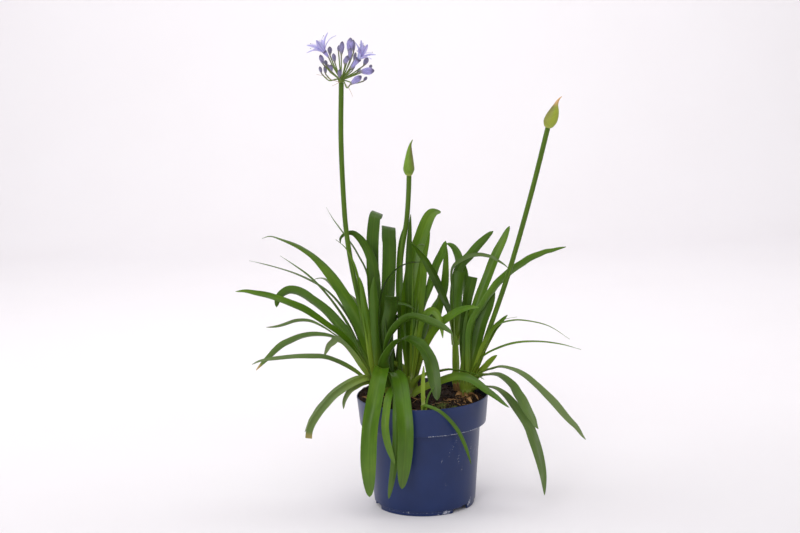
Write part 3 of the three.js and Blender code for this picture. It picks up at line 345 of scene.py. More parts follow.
        (17, (12, 120), "pointed", "grey", (84, 16, 182), (93, 13, 185), (102, 10, 186), (110, 7, 185),
         (118, 4, 181), (126, 1, 175), (132, -2, 169), (137, -6, 160), (143, -9, 151), (148, -12, 141),
         (153, -15, 132), (158, -18, 124), (162, -21, 115), (165, -24, 111)),
        (16, (18, 120), "pointed", "grey", (84, 22, 164), (93, 18, 166), (101, 13, 166), (108, 9, 164),
         (115, 4, 160), (122, 0, 154), (129, -4, 146), (136, -9, 137), (144, -13, 126), (152, -18, 113),
         (158, -22, 96), (163, -26, 80), (167, -31, 64), (170, -35, 47), (171, -40, 33),
         (171, -44, 18)),
        (11, 20, "pointed", "deep", (60, 29, 181), (64, 26, 211), (66, 23, 256), (68, 22, 282)),
    ]},
    "seedling": {"foot": (1, -80), "half": (4.5, 4), "top": 166, "leaves": [
        (6, 125, "pointed", "mid", (1, -88, 166), (10, -98, 167), (24, -104, 161), (44, -97, 137),
         (57, -83, 107), (66, -66, 74)),
        (6, 10, "pointed", "pale_foot", (0, -80, 190), (2, -76, 221)),
        (5, 60, "pointed", "mid", (7, -76, 176), (16, -70, 190)),
    ]},
}

STEMS = {
    "left": ((-70, 30, 132), (-73, 28, 207), (-84, 24, 275), (-96, 19, 343), (-103, 15, 402),
             (-105, 13, 445), (-106, 11, 531), (-103, 10, 612)),
    "middle": ((-33, 36, 132), (-30, 40, 248), (-26, 40, 352), (-16, 38, 410), (-12, 37, 454),
               (-11, 37, 474)),
    "right": ((70, 43, 132), (79, 40, 180), (89, 34, 216), (110, 24, 277), (125, 17, 322),
              (143, 12, 381), (166, 8, 463), (186, 4, 541)),
}

# The closed florets, from the end of the stem: base, tip, width, tone from grey to violet, droop.
BUDS = [
    ((12, 2, 40), (15, 4, 62), 9, 0.9, 0),
    ((18, 22, 40), (18, 26, 58), 6, 0.3, 0),
    ((1, 8, 37), (3, 10, 57), 7, 0.4, 0),
    ((-3, 20, 41), (-2, 23, 51), 5, 0.2, 0),
    ((-15, 10, 38), (-15, 12, 50), 6.5, 0.1, 0),
    ((29, -6, 37), (32, -8, 53), 8, 0.4, 0),
    ((18, 22, 28), (21, 26, 40), 4.5, 0.1, 0),
    ((13, -12, 30), (15, -14, 49), 5.5, 0.6, 0),
    ((7, -24, 27), (11, -30, 39), 6.5, 0.5, 0),
    ((-24, -6, 26), (-28, -8, 40), 6.5, 0.4, 0),
    ((-20, 10, 22), (-22, 13, 31), 5, 0.0, 0),
    ((-27, -10, 14), (-29, -12, 24), 4.5, 0.1, 6),
    ((-22, 14, 11), (-23, 18, 23), 5, 0.1, 5),
    ((-12, -22, 17), (-13, -26, 27), 5, 0.3, 0),
    ((-2, -26, 8), (0, -34, 21), 6, 0.2, 0),
    ((32, 10, 22), (38, 12, 33), 7, 0.3, 0),
    ((22, 16, 12), (27, 20, 18), 4.5, 0.2, 0),
    ((26, -8, 15), (47, -10, 16), 11, 1.0, 0),
    ((13, -16, -2), (29, -22, 10), 9, 0.9, 8),
    ((40, 10, 17), (43, 12, 23), 4.5, 0.1, 0),
    ((31, 12, 0), (36, 15, 6), 4.5, 0.2, 4),
    ((5, 32, 22), (6, 38, 32), 6, 0.3, 0),
    ((-9, 28, 26), (-11, 33, 39), 6, 0.3, 0),
    ((15, 28, 14), (18, 34, 25), 6, 0.3, 0),
    ((-16, 24, 13), (-19, 28, 24), 5.5, 0.2, 0),
]

# The open florets: base, mouth, width at the mouth, and the tips of the six tepals.
OPEN_FLORETS = [
    ((-16, -12, 36), (-22, -15, 45), 7,
     ((-16, -14, 71), (-32, -24, 61), (-46, -12, 54), (-46, -24, 44), (-25, 2, 60), (-38, 4, 47))),
    ((14, -20, 20), (26, -24, 34), 9,
     ((30, -12, 59), (39, -18, 53), (50, -24, 39), (44, -38, 34), (24, -40, 46), (22, -26, 57))),
]

# The style that curls up from the left open floret.
CURLED_STYLE = ((-22, -15, 44), (-19, -10, 54), (-13, -6, 62), (-5, -4, 66))

# A closed bud sheath's rings: sideways lean, height along the stem's line, half width, half depth.
SHEATHS = {
    "middle": ((0, 0, 3.2, 3.2), (-0.5, 2, 5, 4.5), (-0.6, 9, 7.6, 6.2), (-0.6, 16, 7, 5.8),
               (-0.4, 26, 5.4, 4.6), (-0.1, 36, 3.6, 3.2), (1, 45, 1.7, 1.7), (4, 52, 0.6, 0.6)),
    "right": ((0, 0, 3.2, 3.2), (0.2, 1.5, 5.4, 4.6), (0.9, 9, 8.8, 6.6), (2, 18, 8.4, 6.4),
              (3, 27, 6, 5), (3.4, 35, 2.9, 2.6), (5, 42, 1.5, 1.4), (8.4, 47.5, 0.6, 0.6)),
}

# ------------------------------------------------------------------ settings that a user can change


def linear(code):
    """An sRGB hex colour as linear RGBA."""
    values = [int(code[i:i + 2], 16) / 255 for i in (0, 2, 4)]
    return tuple(v / 12.92 if v <= 0.04045 else ((v + 0.055) / 1.055) ** 2.4 for v in values) + (1.0,)


class AgapanthusSettings(bpy.types.PropertyGroup):
    """Sizes and colours of the plant, its pot and its studio."""

    leaf_ring: bpy.props.FloatProperty(
        name="Leaf Ring", description="Spacing of the rings along a leaf",
        default=3.4 * MM, subtype="DISTANCE", unit="LENGTH")
    leaf_thickness: bpy.props.FloatProperty(
        name="Leaf Thickness", description="Thickness of a leaf at its midrib",
        default=1.1 * MM, subtype="DISTANCE", unit="LENGTH")
    leaf_colour: bpy.props.FloatVectorProperty(
        name="Leaf", description="Green of a leaf's face",
        default=linear("496C10")[:3], size=3, min=0, max=1, subtype="COLOR")
    pot_colour: bpy.props.FloatVectorProperty(
        name="Pot", description="Blue of the pot's plastic",
        default=linear("122756")[:3], size=3, min=0, max=1, subtype="COLOR")
    crumbs: bpy.props.IntProperty(
        name="Crumbs", description="Loose crumbs on the soil", default=1100, min=0)
    floor_size: bpy.props.FloatProperty(
        name="Floor", description="Half width of the studio floor",
        default=6.0, subtype="DISTANCE", unit="LENGTH")


# ------------------------------------------------------------------ curves and meshes


def unit(vector):
    return vector / max(np.linalg.norm(vector), 1e-9)


def around(radius, azimuth_deg, z):
    """The point at a radius and an azimuth round the pot's axis."""
    angle = math.radians(azimuth_deg)
    return radius * math.cos(angle), radius * math.sin(angle), z


def on_curve(points, share):
    """The place at a share of the way along a centripetal Catmull-Rom curve through points."""
    last = len(points) - 1
    place = share * last
    i = min(int(place), last - 1)
    t = place - i
    p1, p2 = points[i], points[i + 1]
    p0 = points[i - 1] if i > 0 else 2 * p1 - p2
    p3 = points[i + 2] if i + 2 <= last else 2 * p2 - p1
    d0, d1, d2 = (max(np.linalg.norm(b - a), 1e-4) ** 0.5 for a, b in ((p0, p1), (p1, p2), (p2, p3)))
    m1 = ((p1 - p0) / d0 - (p2 - p0) / (d0 + d1) + (p2 - p1) / d1) * d1
    m2 = ((p2 - p1) / d1 - (p3 - p1) / (d1 + d2) + (p3 - p2) / d2) * d1
    return ((2 * t ** 3 - 3 * t ** 2 + 1) * p1 + (t ** 3 - 2 * t ** 2 + t) * m1
            + (3 * t ** 2 - 2 * t ** 3) * p2 + (t ** 3 - t ** 2) * m2)


# The straight steps between two points of a curve, by which its length is measured.
CURVE_STEPS = 14


def even_places(points, step, least=8):
    """Points spaced evenly by length along the curve through points, and the curve's length."""
    points = [np.array(p, float) for p in points]
    fine = np.array([on_curve(points, s) for s in np.linspace(0, 1, CURVE_STEPS * (len(points) - 1) + 1)])
    reached = np.concatenate(([0], np.cumsum(np.linalg.norm(np.diff(fine, axis=0), axis=1))))
    count = max(int(round(reached[-1] / step)), least)
    wanted = np.linspace(0, reached[-1], count + 1)
    return np.column_stack([np.interp(wanted, reached, fine[:, k]) for k in range(3)]), reached[-1]


def frames_along(places, across):
    """For each place: the direction along, the carried direction across, and the face direction."""
    along = np.gradient(places, axis=0)
    result = []
    for forward in along:
        forward = unit(forward)
        across = unit(across - forward * (across @ forward))
        result.append((forward, across, np.cross(forward, across)))
    return result


class Parts:
    """Vertices, faces and three attributes of many closed forms that become one mesh.

    place holds millimetres across and along a form and its own random number; look holds the share of
    its length, its tone, its bloom or soiling, and its dryness or wear; under is 1 on an underside. The
    tone is a painted shade on some leaves, the bloom partly a painted sheen, the soiling and a sheath's
    browning partly painted shade, and the pot's wear takes a painted highlight along its foot's seam.
    """

    def __init__(self):
        self.points, self.faces, self.place, self.look, self.under = [], [], [], [], []
        self.slots = []

    def skin(self, rings, place, look, under=None, slot=0):
        """Closes rings of equally many points into a form with a cap at each end."""
        rings = np.asarray(rings, float)
        count, corners = rings.shape[:2]
        start = sum(len(p) for p in self.points)
        self.points.append(rings.reshape(-1, 3))
        self.place.append(np.asarray(place, float).reshape(-1, 3))
        self.look.append(np.asarray(look, float).reshape(-1, 4))
        self.under.append(np.zeros(count * corners) if under is None else np.asarray(under, float).ravel())
        ids = start + np.arange(count * corners).reshape(count, corners)
        following = np.roll(ids, -1, axis=1)
        quads = np.stack((ids[:-1], following[:-1], following[1:], ids[1:]), axis=-1).reshape(-1, 4)
        self.faces.extend(quads.tolist())
        self.faces.append(ids[0][::-1].tolist())
        self.faces.append(ids[-1].tolist())
        self.slots.extend([slot] * (len(quads) + 2))

    def piece(self, name, materials, node, slot, sharp_deg=50):
        """Makes the object, which rides on the root and stands for a CAD node where one is named."""
        mesh = bpy.data.meshes.new(name)
        mesh.from_pydata((np.concatenate(self.points) * MM).tolist(), [], self.faces)
        for material in materials:
            mesh.materials.append(material)
        mesh.polygons.foreach_set("material_index", self.slots)
        for title, kind, key, values in (
            ("place", "FLOAT_VECTOR", "vector", self.place),
            ("look", "FLOAT_COLOR", "color", self.look),
            ("under", "FLOAT", "value", self.under),
        ):
            attribute = mesh.attributes.new(title, kind, "POINT")
            attribute.data.foreach_set(key, np.concatenate(values).ravel())
        mesh.polygons.foreach_set("use_smooth", [True] * len(mesh.polygons))
        mesh.validate()
        mesh.update()
        mesh.set_sharp_from_angle(angle=math.radians(sharp_deg))
        piece = bpy.data.objects.new(name, mesh)
        bpy.context.scene.collection.objects.link(piece)
        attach(piece, "root")
        if node:
            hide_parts(node)
        return piece


def swept(parts, rings, sides, look, ribs=0, rib_depth=0.0, across=(0.6, 0.8, 0), slot=0, seed=0.0):
    """A round form through rings of a centre and a radius, with lengthwise ribs if asked.

    look holds its tone, bloom and dryness.
    """
    centres = np.array([c for c, _ in rings], float)
    radii = np.array([r for _, r in rings], float)
    reached = np.concatenate(([0], np.cumsum(np.linalg.norm(np.diff(centres, axis=0), axis=1))))
    angles = np.arange(sides) * 2 * math.pi / sides
    shape = 1 + rib_depth * np.cos(ribs * angles)
    points, place, looks = [], [], []
    for centre, radius, (_, wide, face), far in zip(
            centres, radii, frames_along(centres, np.array(across, float)), reached):
        points.append([centre + radius * k * (math.cos(a) * wide + math.sin(a) * face)
                       for a, k in zip(angles, shape)])
        place.append([(a * radius, far, seed) for a in angles])
        looks.append([(far / reached[-1], *look)] * sides)
    parts.skin(points, place, looks, slot=slot)


def tube(parts, points, radius, look, sides=8, step=4.0, taper=1.0, slot=0, seed=0.0):
    """A round stem of one radius, tapering to a share of it, along the curve through points."""
    places, _ = even_places(points, step)
    radii = radius * np.linspace(1, taper, len(places))
    swept(parts, list(zip(places, radii)), sides, look, slot=slot, seed=seed)


# ------------------------------------------------------------------ leaves


def blade_share(share, tip):
    """How wide a blade is at a share of its length, as a share of its full width."""
    rise = SHEATH_SHARE + (1 - SHEATH_SHARE) * math.sin(math.pi / 2 * min(share / FULL_WIDTH_AT, 1))
    start, power = TIPS[tip]
    if share <= start:
        return rise
    past = (share - start) / (1 - start)
    return rise * max(1 - past * past, 0) ** power


def channel(across):
    """The height of a blade's rounded V at a share of its half width, from 0 at the midrib to 1."""
    full = math.hypot(1, CHANNEL_ROUNDING) - CHANNEL_ROUNDING
    return (np.hypot(across, CHANNEL_ROUNDING) - CHANNEL_ROUNDING) / full


def blade(parts, width, side, tip, look, path, thickness, step, rng):
    """A strap leaf: a thin channelled strip along its path, with a soft wave in its edges."""
    side, turn = side if isinstance(side, tuple) else (side, 0)
    places, length = even_places(path, step, least=14)
    frames = frames_along(places, np.array((math.cos(math.radians(side)), math.sin(math.radians(side)), 0)))
    upward = 1 if frames[round(FACE_UP_AT * (len(frames) - 1))][2][2] >= 0 else -1
    seed, phase, wave = rng.random(), rng.random() * 6, rng.uniform(*EDGE_WAVE_LENGTHS)
    tone, root_bloom_and_sheen, tip_bloom_and_sheen, dry, hidden = LOOKS[look]
    tone += (rng.random() - 0.5) * TONE_SPREAD
    both = np.concatenate((BLADE_COLUMNS, BLADE_COLUMNS[::-1]))
    rings, place, looks = [], [], []
    for i, (at, (along, wide, face)) in enumerate(zip(places, frames)):
        share = i / (len(places) - 1)
        spin = Matrix.Rotation(math.radians(turn * share), 3, Vector(along))
        wide = np.array(spin @ Vector(wide)) * upward
        face = np.array(spin @ Vector(face)) * upward
        half = max(width / 2 * blade_share(share, tip), LEAST_HALF_WIDTH)
        far = share * length
        ripple = EDGE_WAVE * half * math.sin(far * 2 * math.pi / wave + phase)
        flat = FOLD_FLATTENING * share if tip == "fold" else CHANNEL_FADE * share * share
        depth = 2 * half * CHANNEL_DEPTH * max(1 - flat, 0)
        lift = depth * (channel(BLADE_COLUMNS) - 0.5) + ripple * BLADE_COLUMNS
        thick = np.minimum(thickness * (1 - EDGE_THINNING * BLADE_COLUMNS ** 2), 0.8 * half)
        top = at + np.outer(BLADE_COLUMNS * half, wide) + np.outer(lift, face)
        rings.append(np.concatenate((top - np.outer(thick, face), top[::-1])))
        place.append([(c, far + hidden, seed) for c in both * half])
        # The grey bloom, partly a painted sheen, grows from the root to the tip.
        bloom_and_sheen = max(root_bloom_and_sheen + (tip_bloom_and_sheen - root_bloom_and_sheen) * share, 0)
        looks.append([(share, tone, bloom_and_sheen, dry)] * len(both))
    under = [[1.0] * len(BLADE_COLUMNS) + [0.0] * len(BLADE_COLUMNS)] * len(rings)
    parts.skin(rings, place, looks, under)


def root_of(shoot, first):
    """A leaf's root inside its shoot, a little towards the side that it leaves by."""
    x, y = shoot["foot"]
    reach = math.hypot(first[0] - x, first[1] - y)
    share = min(1, ROOT_OFFSET * shoot["half"][1] / max(reach, 1))
    return (x + (first[0] - x) * share, y + (first[1] - y) * share,
            min(shoot["top"] - ROOT_DEPTH, first[2] - ROOT_RISE))


def leaf_base(parts, shoot, rng):
    """The bundle of overlapping leaf sheaths that a shoot stands on, dusky at the soil, paler above."""
    x, y = shoot["foot"]
    wide, deep = shoot["half"]
    low, top = SOIL_LEVEL - BASE_DEPTH, shoot["top"]
    angles = np.arange(BASE_SIDES) * 2 * math.pi / BASE_SIDES
    seed = rng.random()
    rings, place, looks = [], [], []
    for share in np.linspace(0, 1, BASE_RINGS):
        size = np.interp(share, *zip(*BASE_SWELL))
        folds = 1 + 0.05 * np.sin(5 * angles + 2.2 * share + seed * 6) + 0.03 * np.sin(9 * angles)
        z = low + (top - low) * share
        rings.append(np.column_stack((x + wide * size * folds * np.cos(angles),
                                      y + deep * size * folds * np.sin(angles), np.full(BASE_SIDES, z))))
        place.append([(k * 1.3, 60 + 0.2 * (z - SOIL_LEVEL), seed) for k in range(BASE_SIDES)])
        tone = np.interp(z - SOIL_LEVEL, *zip(*BASE_TONES))
        looks.append([(share * 0.2, tone, 0.0, 0.0)] * BASE_SIDES)
    parts.skin(rings, place, looks)
    for azimuth in SHEATH_AZIMUTHS:
        aside, ahead = wide * math.cos(math.radians(azimuth)), deep * math.sin(math.radians(azimuth))
        end = min(top - 4, SOIL_LEVEL + 24)
        path = [(x + out * aside, y + out * ahead, z) for out, z in (
            (0.5, SOIL_LEVEL - 4), (0.75, SOIL_LEVEL + 4), (1.0, SOIL_LEVEL + 12), (0.95, end))]
        blade(parts, SHEATH_WIDTH_SHARE * wide, azimuth + 90, "pointed", "sheath", path,
              SHEATH_THICKNESS, 3.0, rng)


# ------------------------------------------------------------------ materials


def add(tree, kind, settings=None, inputs=None, out=0):
    """Adds a node, sets its settings, sets or links its inputs, and gives one of its outputs."""
    made = tree.nodes.new(kind)
    for name, value in (settings or {}).items():
        setattr(made, name, value)
    for name, value in (inputs or {}).items():
        if isinstance(value, bpy.types.NodeSocket):
            tree.links.new(value, made.inputs[name])
        else:
            made.inputs[name].default_value = value
    return made.outputs[out]


MATH, MIX, NOISE, RANGE = "ShaderNodeMath", "ShaderNodeMix", "ShaderNodeTexNoise", "ShaderNodeMapRange"
ATTRIBUTE, COORDINATES, BUMP = "ShaderNodeAttribute", "ShaderNodeTexCoord", "ShaderNodeBump"
COLOUR = {"data_type": "RGBA"}
MULTIPLY = {"data_type": "RGBA", "blend_type": "MULTIPLY"}
SMOOTH = {"interpolation_type": "SMOOTHSTEP"}


def material(name, build, **shader):
    """A material, made once: one Principled shader with constant values, whose other nodes build makes."""
    if name in bpy.data.materials:
        return bpy.data.materials[name]
    made = bpy.data.materials.new(name)
    made.use_nodes = True
    principled = made.node_tree.nodes["Principled BSDF"]
    for socket, value in shader.items():
        principled.inputs[socket.replace("_", " ")].default_value = value
    for socket, value in build(made.node_tree).items():
        made.node_tree.links.new(value, principled.inputs[socket])
    return made


def look_of(tree):
    """The four values of a form's look attribute, as Parts holds them."""
    look = add(tree, ATTRIBUTE, {"attribute_name": "look"})
    parts = add(tree, "ShaderNodeSeparateColor", inputs={0: look}).node
    return (*parts.outputs, look.node.outputs["Alpha"])


def streaks(tree, across_mm, along_mm, detail=2.0, apart=40.0):
    """Lengthwise grain with cells of that width and length, which differs from form to form."""
    place = add(tree, ATTRIBUTE, {"attribute_name": "place"}, out=1)
    cells = add(tree, "ShaderNodeVectorMath", {"operation": "MULTIPLY"},
                {0: place, 1: (1 / across_mm, 1 / along_mm, apart)})
    return add(tree, NOISE, inputs={"Vector": cells, "Scale": 1.0, "Detail": detail})


# Real veins stand about 0.8 mm apart, and pores lie closer. Both are drawn wider so that they show.
VEIN_MM = (2.2, 90.0)
LEAF_PATCH_MM = (16.0, 45.0)
LEAF_PORE_MM = 1.11
LEAF_DARK, LEAF_LIGHT = linear("182B05"), linear("88A234")
# The fresh yellow-green of a lower blade is partly a painted glow of light through the leaf.
LEAF_PALE_BASE, LEAF_FRESH_AND_GLOW = linear("CBD19C"), linear("889E34")
# The grey bloom is partly a painted sheen.
LEAF_BLOOM_AND_SHEEN, LEAF_UNDER = linear("7C8862"), linear("587A2A")
LEAF_DRY = linear("B99A63")


def leaf_nodes(colour):
    """Agapanthus leaf, a fleshy strap with a waxy skin: parallel veins, a paler midrib and a
    whitish sheathing base, which give a soft sheen along the blade and fine lengthwise lines. Its grey
    bloom is partly a painted sheen, its yellow-green lower blade partly a painted glow of light through
    it, and its tone a painted shade on leaves deep in the clump."""

    def build(tree):
        share, tone, bloom_and_sheen, dry = look_of(tree)
        place = add(tree, ATTRIBUTE, {"attribute_name": "place"}, out=1)
        across, along, _ = add(tree, "ShaderNodeSeparateXYZ", inputs={0: place}).node.outputs
        under = add(tree, ATTRIBUTE, {"attribute_name": "under"}, out=2)
        veins = streaks(tree, *VEIN_MM, apart=90.0)
        patches = streaks(tree, *LEAF_PATCH_MM, detail=3.0, apart=90.0)
        pores = add(tree, NOISE, inputs={"Vector": place, "Scale": 1 / LEAF_PORE_MM, "Detail": 2.0})
        shade = add(tree, MATH, {"operation": "MULTIPLY_ADD"}, {0: patches, 1: 0.9, 2: -0.45})
        toned = add(tree, MATH, {"operation": "ADD"}, {0: tone, 1: shade})
        # A tone below zero is partly painted shade: the deep and shaded leaves inside the clump are darkened.
        darker = add(tree, RANGE, inputs={"Value": toned, "From Min": 0.0, "From Max": -1.0})
        lighter = add(tree, RANGE, inputs={"Value": toned, "From Min": 0.0, "From Max": 1.0, "To Max": 0.8})
        lines = add(tree, RANGE, inputs={"Value": veins, "From Min": 0.3, "From Max": 0.7,
                                         "To Min": 0.89, "To Max": 1.09})
        aside = add(tree, MATH, {"operation": "ABSOLUTE"}, {0: across})
        midrib = add(tree, RANGE, SMOOTH, {"Value": aside, "From Min": 1.2, "From Max": 0.1, "To Max": 0.07})
        flipped = add(tree, MATH, {"operation": "MULTIPLY"}, {0: under, 1: 0.3})
        # Yellow-green lower blade: partly the leaf's own colour, partly a painted glow of light through the
        # leaf.
        fresh_and_glow = add(tree, RANGE, SMOOTH,
                    {"Value": along, "From Min": 115.0, "From Max": 30.0, "To Max": 0.75})
        root = add(tree, RANGE, SMOOTH, {"Value": along, "From Min": 22.0, "From Max": 5.0, "To Max": 0.85})
        end = add(tree, RANGE, SMOOTH, {"Value": share, "From Min": 0.93, "From Max": 0.985})
        withered = add(tree, MATH, {"operation": "MULTIPLY"}, {0: end, 1: dry})
        green = colour
        for much, tint in ((darker, LEAF_DARK), (lighter, LEAF_LIGHT)):
            green = add(tree, MIX, COLOUR, {0: much, 6: green, 7: tint}, 2)
        green = add(tree, MIX, MULTIPLY, {0: 1.0, 6: green, 7: lines}, 2)
        # The bloom mixed in below is partly a painted sheen.
        for much, tint in ((midrib, LEAF_LIGHT), (flipped, LEAF_UNDER), (bloom_and_sheen, LEAF_BLOOM_AND_SHEEN),
                           (fresh_and_glow, LEAF_FRESH_AND_GLOW), (root, LEAF_PALE_BASE), (withered, LEAF_DRY)):
            green = add(tree, MIX, COLOUR, {0: much, 6: green, 7: tint}, 2)
        rough = add(tree, RANGE, inputs={"Value": patches, "To Min": 0.28, "To Max": 0.44})
        relief = add(tree, MATH, {"operation": "MULTIPLY_ADD"}, {0: pores, 1: 0.35, 2: veins})
        bump = add(tree, BUMP, inputs={"Strength": 0.35, "Distance": 0.25 * MM, "Height": relief})
        return {"Base Color": green, "Roughness": rough, "Normal": bump}

    return build


def stem_nodes(tree):
    """Flower stem, smooth and fleshy with a thin wax: an even green with faint lengthwise streaks."""
    streak = streaks(tree, across_mm=0.833, along_mm=33.3)
    blend = add(tree, RANGE, inputs={"Value": streak, "From Min": 0.3, "From Max": 0.7})
    green = add(tree, MIX, COLOUR, {0: blend, 6: linear("34500C"), 7: linear("597719")}, 2)
    bump = add(tree, BUMP, inputs={"Strength": 0.2, "Distance": 0.2 * MM, "Height": streak})
    return {"Base Color": green, "Normal": bump}


def flower_stalk_nodes(tree):
    """Flower stalk: olive green that turns dusky brown just under the floret, matt."""
    share, *_ = look_of(tree)
    dusky = add(tree, RANGE, inputs={"Value": share, "From Min": 0.7, "From Max": 1.0, "To Max": 0.85})
    colour = add(tree, MIX, COLOUR, {0: dusky, 6: linear("627A26"), 7: linear("5C5040")}, 2)
    return {"Base Color": colour}


def bud_nodes(tree):
    """Closed floret, six waxy tepals folded on one another: violet with greyer, darker ridges and a
    dusky tip, and a little green at the base."""
    share, tone, *_ = look_of(tree)
    folds = streaks(tree, across_mm=1.11, along_mm=8.33)
    lines = add(tree, RANGE, inputs={"Value": folds, "From Min": 0.3, "From Max": 0.7,
                                     "To Min": 0.62, "To Max": 1.2})
    tip = add(tree, RANGE, SMOOTH, {"Value": share, "From Min": 0.68, "From Max": 0.98, "To Max": 0.85})
    foot = add(tree, RANGE, SMOOTH, {"Value": share, "From Min": 0.38, "From Max": 0.0, "To Max": 0.9})
    violet = add(tree, MIX, COLOUR, {0: tone, 6: linear("716C84"), 7: linear("A79EDC")}, 2)
    violet = add(tree, MIX, MULTIPLY, {0: 1.0, 6: violet, 7: lines}, 2)
    for much, tint in ((tip, linear("40374C")), (foot, linear("83825A"))):
        violet = add(tree, MIX, COLOUR, {0: much, 6: violet, 7: tint}, 2)
    return {"Base Color": violet}


def tepal_nodes(tree):
    """Open tepal, thin and satiny: pale lavender with a deeper midrib."""
    place = add(tree, ATTRIBUTE, {"attribute_name": "place"}, out=1)
    across = add(tree, "ShaderNodeSeparateXYZ", inputs={0: place})
    aside = add(tree, MATH, {"operation": "ABSOLUTE"}, {0: across})
    rib = add(tree, RANGE, SMOOTH, {"Value": aside, "From Min": 1.1, "From Max": 0.2, "To Max": 0.6})
    streak = streaks(tree, across_mm=0.667, along_mm=10.0)
    lavender = add(tree, MIX, COLOUR, {0: streak, 6: linear("9E99D4"), 7: linear("D3CFF2")}, 2)
    lavender = add(tree, MIX, COLOUR, {0: rib, 6: lavender, 7: linear("7D74BC")}, 2)
    return {"Base Color": lavender}


def sheath_nodes(tree):
    """Bud sheath, a leathery bract: yellow green with fine lengthwise veins, browned on one side, where the
    sun reaches the right sheath and as a painted shade on the middle sheath's right side, with a paler
    ring at its foot and a papery tip."""
    share, tone, browning_and_shade, dry = look_of(tree)
    veins = streaks(tree, across_mm=0.909, along_mm=16.7)
    lines = add(tree, RANGE, inputs={"Value": veins, "From Min": 0.3, "From Max": 0.7,
                                     "To Min": 0.78, "To Max": 1.16})
    # Brown on one side: sun-browned on the right sheath, a painted shade on the middle sheath's right side.
    browning_and_shade_mix = add(tree, RANGE, inputs={"Value": browning_and_shade, "From Min": 0.1, "From Max": 0.8, "To Max": 0.75})
    ring = add(tree, RANGE, SMOOTH, {"Value": share, "From Min": 0.1, "From Max": 0.0, "To Max": 0.5})
    end = add(tree, RANGE, SMOOTH, {"Value": share, "From Min": 0.62, "From Max": 0.85})
    paper = add(tree, MATH, {"operation": "MULTIPLY"}, {0: end, 1: dry})
    green = add(tree, MIX, COLOUR, {0: tone, 6: linear("6E8F28"), 7: linear("A3AB40")}, 2)
    green = add(tree, MIX, MULTIPLY, {0: 1.0, 6: green, 7: lines}, 2)
    for much, tint in ((browning_and_shade_mix, linear("6F6440")), (ring, linear("B7BC6A")), (paper, linear("D2A873"))):
        green = add(tree, MIX, COLOUR, {0: much, 6: green, 7: tint}, 2)
    bump = add(tree, BUMP, inputs={"Strength": 0.3, "Distance": 0.3 * MM, "Height": veins})
    return {"Base Color": green, "Normal": bump}


def dry_nodes(tree):
    """Dry leaf sheath or straw: papery, tan to pale, with a fibrous grain."""
    fibres = streaks(tree, across_mm=0.714, along_mm=8.33, detail=3.0, apart=60.0)
    colour = add(tree, MIX, COLOUR, {0: fibres, 6: linear("6E3F1C"), 7: linear("C99F66")}, 2)
    return {"Base Color": colour}


PEAT_CRUMB_MM, PEAT_SPECK_MM, MOSS_TUFT_MM = 3.846, 1.613, 2.941


def peat_nodes(tree):
    """Peat compost, fibrous and damp: near black with rusty brown crumbs and no gloss."""
    where = add(tree, COORDINATES, out=3)
    crumbs = add(tree, NOISE, inputs={"Vector": where, "Scale": 1 / (PEAT_CRUMB_MM * MM), "Detail": 5.0,
                                      "Roughness": 0.65})
    specks = add(tree, NOISE, inputs={"Vector": where, "Scale": 1 / (PEAT_SPECK_MM * MM), "Detail": 2.0})
    rusty = add(tree, RANGE, inputs={"Value": crumbs, "From Min": 0.38, "From Max": 0.72})
    pale = add(tree, RANGE, inputs={"Value": specks, "From Min": 0.68, "From Max": 0.74, "To Max": 0.4})
    brown = add(tree, MIX, COLOUR, {0: rusty, 6: linear("0A0706"), 7: linear("3C2517")}, 2)
    brown = add(tree, MIX, COLOUR, {0: pale, 6: brown, 7: linear("8A5433")}, 2)
    bump = add(tree, BUMP, inputs={"Strength": 0.7, "Distance": 1.2 * MM, "Height": crumbs})
    return {"Base Color": brown, "Normal": bump}


def moss_nodes(tree):
    """Moss, soft and matt: bright to olive green from tuft to tuft."""
    where = add(tree, COORDINATES, out=3)
    tufts = add(tree, NOISE, inputs={"Vector": where, "Scale": 1 / (MOSS_TUFT_MM * MM), "Detail": 2.0})
    colour = add(tree, MIX, COLOUR, {0: tufts, 6: linear("2A3A12"), 7: linear("747F38")}, 2)
    return {"Base Color": colour}


# The pot's patterns: broad clouds in the colour, chips where it is worn, and the mould's fine grain,
# which is drawn coarser than the real 0.1 mm so that it shows.
POT_CLOUD_MM, POT_CHIP_MM, POT_GRAIN_MM = 38.46, 1.6667, 1.1111


